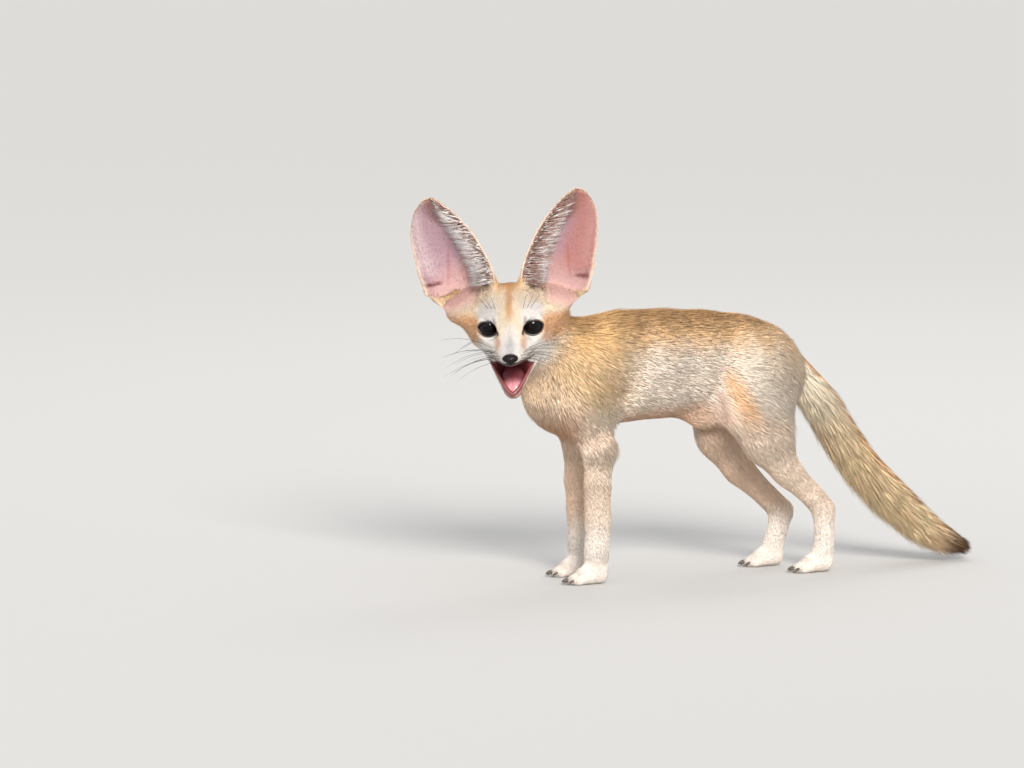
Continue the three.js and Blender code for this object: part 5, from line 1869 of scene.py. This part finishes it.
@dataclass
class Face:
    """Eyes, lids, nose, lips and tongue."""

    stance: Stance
    nodes: dict
    cornea: float = 0.35
    rim_lift: float = 0.7
    rim_radius: float = 0.62
    tongue_voxel: float = 0.55

    def eye(self, side: int) -> bpy.types.Object:
        """One eyeball with its cornea, looking a little outwards.

        Args:
            side: 1 for the left and -1 for the right.

        Returns:
            The eyeball's object.
        """
        label = "left" if side > 0 else "right"
        centre = self.stance.head_point((side * EYE_AT[0], EYE_AT[1], EYE_AT[2]))
        gaze = self._gaze(side)
        turn_to = Vector(gaze).to_track_quat("Z", "Y").to_euler()
        only()
        bpy.ops.mesh.primitive_uv_sphere_add(
            segments=48, ring_count=32, radius=EYE_RADIUS * MM, location=centre, rotation=turn_to
        )
        piece = bpy.context.object
        piece.name = piece.data.name = f"eyeball_{label}"
        bpy.ops.object.transform_apply(location=True, rotation=True, scale=True)
        points = points_of(piece.data)
        ahead = (points - centre) @ gaze / (EYE_RADIUS * MM)
        points += gaze * column(ramp(ahead, 0.55, 1.0)) * self.cornea * MM
        place_points(piece.data, points)
        bpy.ops.object.shade_smooth()
        finish = EyeFinish(f"wet eye {label}", tuple(centre), tuple(gaze))
        piece.data.materials.append(finish.material())
        return piece

    def _gaze(self, side: int) -> np.ndarray:
        """The way an eye looks, in the frame.

        Args:
            side: 1 for the left and -1 for the right.

        Returns:
            A unit vector.
        """
        out = math.radians(EYE_OUT * 0.75)
        way = np.array([side * math.sin(out), -math.cos(out), 0.05])
        return unit(self.stance.head[:3, :3] @ way)

    def lids(self, side: int) -> bpy.types.Object:
        """The dark rims of one eye's lids, a closed tube that follows the opening.

        Args:
            side: 1 for the left and -1 for the right.

        Returns:
            The tube's object.
        """
        opening = OPENINGS[0 if side > 0 else 1]
        world = self.stance.to_world(opening.rim(self.stance.head, self.rim_lift))
        label = "left" if side > 0 else "right"
        return self.tube(f"lids_{label}", world, np.full(len(world), self.rim_radius), closed=True)

    def tube(
        self, name: str, path: np.ndarray, radii: np.ndarray, closed: bool = False
    ) -> bpy.types.Object:
        """A round strip along a path, made as a curve and turned into a mesh.

        Args:
            name: Its name.
            path: Its points, in the frame's metres.
            radii: Its radius at each point, in millimetres.
            closed: Whether it runs back into itself.

        Returns:
            The strip as a mesh.
        """
        only()
        bpy.ops.curve.primitive_nurbs_path_add()
        piece = bpy.context.object
        piece.matrix_world = Matrix.Identity(4)
        piece.name = piece.data.name = name
        curve = piece.data
        curve.splines.clear()
        spline = curve.splines.new("NURBS")
        spline.points.add(len(path) - 1)
        for point, at, radius in zip(spline.points, path, radii):
            point.co = (*at, 1)
            point.radius = radius
        spline.use_cyclic_u = closed
        spline.use_endpoint_u = not closed
        spline.order_u = 4
        spline.resolution_u = 4
        curve.dimensions = "3D"
        curve.bevel_depth = MM
        curve.bevel_resolution = 3
        curve.use_fill_caps = True
        bpy.ops.object.convert(target="MESH")
        bpy.ops.object.mode_set(mode="EDIT")
        bpy.ops.mesh.select_all(action="SELECT")
        bpy.ops.mesh.remove_doubles(threshold=1e-6)
        bpy.ops.mesh.normals_make_consistent(inside=False)
        bpy.ops.object.mode_set(mode="OBJECT")
        bpy.ops.object.shade_smooth()
        return piece

    def lip(self, name: str, rows: list[tuple[float, float, float, float]]) -> bpy.types.Object:
        """A lip's rim on both sides of the mouth, from one corner round to the other.

        Args:
            name: Its name.
            rows: Points from the corner to the middle of the front, each with a radius.

        Returns:
            The lip.
        """
        other = [(-x, y, z, r) for x, y, z, r in reversed(rows)]
        table = np.array([*rows, *other])
        world = self.stance.to_world(moved(table[:, :3], self.stance.head))
        return self.tube(name, world, table[:, 3])

    def tongue(self) -> bpy.types.Object:
        """The tongue, pink in front, with painted shade darkening it back in the throat and a painted
        highlight paling its tip.

        Returns:
            The tongue's object.
        """
        piece = self.smooth_copy("tongue", "tongue_flesh", self.tongue_voxel, 8)
        head = moved(self.stance.to_work(points_of(piece.data)), np.linalg.inv(self.stance.head))
        forward = -head[:, 1]
        colours = np.tile(linear("#d98a94"), (len(head), 1))
        colours = tint(colours, 0.5 * ramp(np.abs(head[:, 0]), 1.2, 0.2) * ramp(forward, 42, 34), "#b96470")
        # Painted highlight: the front tip of the tongue is paler.
        colours = tint(colours, 0.6 * ramp(forward, 38, 43), "#eab0b4")
        # Painted shade: the tongue turns dark maroon back in the throat.
        colours = tint(colours, 0.9 * ramp(forward, 37, 27), "#561a20")
        paint(piece.data, colours)
        return piece

    def smooth_copy(self, node: str, name: str, voxel: float, smooth: int) -> bpy.types.Object:
        """A CAD node's form in finer squares.

        Args:
            node: The CAD node.
            name: The new name.
            voxel: The squares' size in millimetres.
            smooth: How often it is evened.

        Returns:
            The new object.
        """
        piece = copy_of((node,), self.nodes, name)
        remesh(piece, voxel, smooth)
        return piece


@dataclass(frozen=True)
class Whisker:
    """Where one whisker starts, which way it goes and how it bends, in the head's frame."""

    root: tuple[float, float, float]
    way: tuple[float, float, float]
    length: float
    sag: float


@dataclass
class Whiskers:
    """The stiff dark hairs of lips, cheeks and brows."""

    stance: Stance
    sides: int = 4
    steps: int = 9
    root_radius: float = 0.18
    tip_radius: float = 0.04

    @staticmethod
    def rows() -> list[Whisker]:
        """Every whisker, the same number on both sides.

        Returns:
            The whiskers.
        """
        chance = np.random.default_rng(SEED)
        found = []
        for side in (1, -1):
            for row in range(3):
                for k in range(4):
                    back = k / 3
                    root = (side * (6.4 + 5.2 * back), -44 + 13 * back, -13 - 1.7 * row + 0.8 * back)
                    lean = 0.34 - 0.22 * row + chance.normal() * 0.07
                    way = (side, 0.1 + 0.4 * back, lean)
                    found.append(Whisker(root, way, chance.uniform(34, 54) * (0.75 + 0.3 * back), 0.6))
            for k in range(3):
                root = (side * (9 + 2.6 * k), -22 + 1.8 * k, 12.5 + 0.8 * k)
                found.append(Whisker(root, (side * (0.3 + 0.22 * k), -0.1, 1), chance.uniform(14, 22), -0.1))
            for k in range(2):
                root = (side * (24 + k), -12 + 3 * k, -9 - 3 * k)
                found.append(Whisker(root, (side * 1, 0.1, -0.4), chance.uniform(16, 24), 0.3))
        return found

    def build(self) -> bpy.types.Object:
        """Makes all the whiskers as one mesh of thin tapered rods.

        Returns:
            The object of them all.
        """
        points, faces = [], []
        for whisker in self.rows():
            start = len(points)
            way = unit(np.array(whisker.way))
            aside = unit(np.cross(way, (0.0, 1, 0.3)))
            up = np.cross(aside, way)
            for i in range(self.steps + 1):
                t = i / self.steps
                middle = np.array(whisker.root) + way * whisker.length * t
                middle = middle - np.array([0, 0, 1]) * whisker.sag * whisker.length * t * t * 0.6
                radius = self.root_radius * (1 - t) ** 0.7 + self.tip_radius
                for j in range(self.sides):
                    a = 2 * math.pi * j / self.sides
                    points.append(middle + (aside * math.cos(a) + up * math.sin(a)) * radius)
            for i in range(self.steps):
                for j in range(self.sides):
                    a, b = start + i * self.sides + j, start + i * self.sides + (j + 1) % self.sides
                    faces += [(a, b, b + self.sides), (a, b + self.sides, a + self.sides)]
            last = start + self.steps * self.sides
            faces += [(start, start + 2, start + 1), (start, start + 3, start + 2)]
            faces += [(last, last + 1, last + 2), (last, last + 2, last + 3)]
        world = self.stance.to_world(moved(np.array(points), self.stance.head))
        return mesh_object("whiskers", world, np.array(faces))


# Floor, light and camera


@dataclass
class Studio:
    """A pale floor, soft lamps and the camera at the photograph's angle."""

    stance: Stance
    azimuth: float = -20.0
    elevation: float = 7.0
    scale: float = 0.78
    middle_px: tuple[float, float] = (512.0, 384.0)
    origin_px: tuple[float, float] = (690.0, 574.0)
    width_px: float = 1024.0
    distance: float = 6.0
    sensor: float = 36.0
    floor_size: float = 60.0
    floor_colour: tuple[float, float, float, float] = (0.5, 0.495, 0.485, 1)
    key_colour: tuple[float, float, float] = (1.0, 0.955, 0.9)
    sky_colour: tuple[float, float, float, float] = (0.97, 0.98, 1.0, 1)
    sky_strength: float = 0.8
    right: np.ndarray = field(init=False)
    back: np.ndarray = field(init=False)
    up: np.ndarray = field(init=False)
    target: np.ndarray = field(init=False)

    def __post_init__(self) -> None:
        """Works out the camera's axes."""
        a, e = math.radians(self.azimuth), math.radians(self.elevation)
        self.right = np.array([math.cos(a), math.sin(a), 0])
        self.back = np.array([math.sin(a) * math.cos(e), -math.cos(a) * math.cos(e), math.sin(e)])
        self.up = np.cross(self.back, self.right)
        across = (self.middle_px[0] - self.origin_px[0]) * self.scale
        rise = (self.origin_px[1] - self.middle_px[1]) * self.scale
        self.target = self.stance.to_world(self.right * across + self.up * rise)

    def camera(self) -> None:
        """Sets the camera."""
        at = self.target + self.back * self.distance
        bpy.ops.object.camera_add(location=at)
        camera = bpy.context.object
        camera.rotation_euler = Vector(self.back).to_track_quat("Z", "Y").to_euler()
        camera.data.sensor_width = self.sensor
        camera.data.lens = self.sensor * self.distance / (self.width_px * self.scale * MM)
        camera.data.clip_end = 100
        bpy.context.scene.camera = camera

    def floor(self) -> bpy.types.Object:
        """A wide pale floor.

        Returns:
            The floor's object.
        """
        bpy.ops.mesh.primitive_plane_add(size=self.floor_size, location=(0, 0, 0))
        piece = bpy.context.object
        piece.name = "floor"
        finish = Finish("pale floor")
        piece.data.materials.append(finish.set(Base_Color=self.floor_colour, Roughness=0.9))
        return piece

    def lamp(self, name: str, way: np.ndarray, power: float, size: float, distance: float) -> None:
        """Adds one soft square lamp that looks at the animal.

        Args:
            name: Its name.
            way: From the animal towards the lamp.
            power: Its power in watts.
            size: Its side in metres.
            distance: How far off it stands.
        """
        at = Vector((0, 0, 0.16)) + Vector(unit(way)) * distance
        bpy.ops.object.light_add(type="AREA", location=at)
        lamp = bpy.context.object
        lamp.name = name
        lamp.data.energy = power
        lamp.data.size = size
        lamp.rotation_euler = Vector(unit(way)).to_track_quat("Z", "Y").to_euler()

    def sun(self, name: str, way: np.ndarray, strength: float, spread: float) -> None:
        """Adds one far lamp that lights animal and floor evenly.

        Args:
            name: Its name.
            way: From the animal towards the lamp.
            strength: Its strength in watts for each square metre.
            spread: The angle that it fills in the sky, in degrees, which softens its shadows.
        """
        bpy.ops.object.light_add(type="SUN", location=Vector(unit(way)) * 3)
        lamp = bpy.context.object
        lamp.name = name
        lamp.data.energy = strength
        lamp.data.angle = math.radians(spread)
        lamp.data.color = self.key_colour
        lamp.rotation_euler = Vector(unit(way)).to_track_quat("Z", "Y").to_euler()

    def lights(self) -> None:
        """A far key lamp in front, a low fill on the left, a rim lamp behind and a pale sky."""
        flat_back = self.back * np.array([1, 1, 0])
        up = np.array([0.0, 0, 1])
        self.sun("key", 0.25 * self.right + flat_back + 0.62 * up, 3.9, 22)
        self.lamp("fill", -0.9 * self.right + 0.8 * flat_back + 0.4 * up, 4, 1.6, 2.2)
        self.lamp("rim", 0.3 * self.right - flat_back + 1.3 * up, 7, 1.0, 2.0)
        world = bpy.data.worlds.new("sky")
        bpy.context.scene.world = world
        world.use_nodes = True
        sky = world.node_tree.nodes["Background"]
        sky.inputs["Color"].default_value = self.sky_colour
        sky.inputs["Strength"].default_value = self.sky_strength
        bpy.context.scene.view_settings.view_transform = "Standard"


# Assembly


def dress(piece: bpy.types.Object, slot: str, material: bpy.types.Material, *nodes: str) -> None:
    """Gives a piece its material and its body, and hides the nodes that it stands for.

    Args:
        piece: The visible piece.
        slot: The material's slot; not used.
        material: The material.
        *nodes: The nodes it stands for.
    """
    piece.data.materials.clear()
    piece.data.materials.append(material)
    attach(piece, "root")
    if nodes:
        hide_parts(*nodes)
    log.info("%s: %d faces", piece.name, len(piece.data.polygons))


COATS = (
    (Tufts(Part.TRUNK_LEFT, 33000), "fur_body"),
    (Tufts(Part.TRUNK_RIGHT, 33000), "fur_body"),
    (Tufts(Part.LEGS_FRONT, 28000), "fur_legs"),
    (Tufts(Part.LEGS_HIND, 32000), "fur_legs"),
    (Tufts(Part.HEAD_LEFT, 33000), "fur_face"),
    (Tufts(Part.HEAD_RIGHT, 33000), "fur_face"),
    (Tufts(Part.EAR_LEFT, 16000), "ear_skin"),
    (Tufts(Part.EAR_RIGHT, 16000), "ear_skin"),
    (Tufts(Part.TAIL, 16000, 2), "fur_tail"),
)


def dress_head(stance: Stance, nodes: dict) -> None:
    """Builds and dresses the wet and bare parts of the head and its whiskers.

    Args:
        stance: Where the animal stands.
        nodes: The CAD nodes by name.
    """
    face = Face(stance, nodes)
    rim = WetFinish("dark lid rim", "#1c1210", "#2e1d18", 0.5, 0.35, 0.4).material()
    for side, label in ((1, "left"), (-1, "right")):
        eye = face.eye(side)
        dress(eye, "eye", eye.data.materials[0], f"eye_{label}")
        dress(face.lids(side), "eye", rim)
    nose = WetFinish("moist nose leather", "#1d1315", "#0c0809", 0.7, 0.4, 0.12, gloss=0.15)
    dress(face.smooth_copy("nose", "nose_leather", 0.35, 3), "nose", nose.material(), "nose")
    tongue = WetFinish("moist tongue", "#dd8f98", "#c8707a", 0.6, 0.36, 0.4, 0.0002, True)
    dress(face.tongue(), "tongue", tongue.material(), "tongue")
    dark_lip = WetFinish("dark lip", "#2b1c1b", "#4a302d", 0.6, 0.4, 0.35)
    pink_lip = WetFinish("pink lip", "#96504f", "#5e2c2c", 0.6, 0.4, 0.3)
    upper = [
        (17.6, -20.5, -20.4, 0.9),
        (11.4, -33.2, -19.5, 1.0),
        (4.2, -45.6, -19, 1.0),
        (1, -48.6, -18.4, 0.9),
    ]
    lower = [
        (*stance.on_jaw(16.2, 1, -0.9), 0.9),
        (*stance.on_jaw(10.2, 14, -0.1), 1.2),
        (*stance.on_jaw(5.2, JAW_LENGTH - 3.4, 0.3), 1.6),
        (*stance.on_jaw(0.8, JAW_LENGTH + 1.4, 0.1), 1.7),
    ]
    dress(face.lip("lip_upper", upper), "nose", dark_lip.material())
    dress(face.lip("lip_lower", lower), "tongue", pink_lip.material())
    whisker = WetFinish("whisker", "#22150f", "#382519", 0.4, 0.45, 0.0).material()
    dress(Whiskers(stance).build(), "nose", whisker)


def dress_claws(nodes: dict) -> None:
    """Rounds the CAD claws and dresses them as horn.

    Args:
        nodes: The CAD nodes by name.
    """
    claws = tuple(sorted(name for name in nodes if name.startswith("claw")))
    horn = WetFinish("dark horn", "#3a2c24", "#57463a", 0.8, 0.4, 0.15)
    piece = copy_of(claws, nodes, "claws")
    rounder = piece.modifiers.new("round", "SUBSURF")
    rounder.levels = rounder.render_levels = 2
    bpy.ops.object.modifier_apply(modifier=rounder.name)
    bpy.ops.object.shade_smooth()
    dress(piece, "claw", horn.material(), *claws)


def main() -> None:
    """Builds the animal, its coat and the studio."""
    logging.basicConfig(level=logging.INFO, format="%(message)s")
    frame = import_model()
    nodes = frame["nodes"]
    stance, tail = Stance(), TailLine()
    skin = Skin(stance, tail, nodes)
    hair = HairFinish("fox hair").material()
    piece = skin.build()
    dress(piece, "fur_body", SkinFinish().material(), *skin.replaced())
    coat = Coat(skin)
    share = 1.0
    for tufts, slot in COATS:
        dress(coat.grow(tufts, share), slot, hair)
    dress_head(stance, nodes)
    dress_claws(nodes)
    studio = Studio(stance)
    only()
    studio.floor()
    studio.lights()
    studio.camera()


if __name__ == "__main__":
    main()
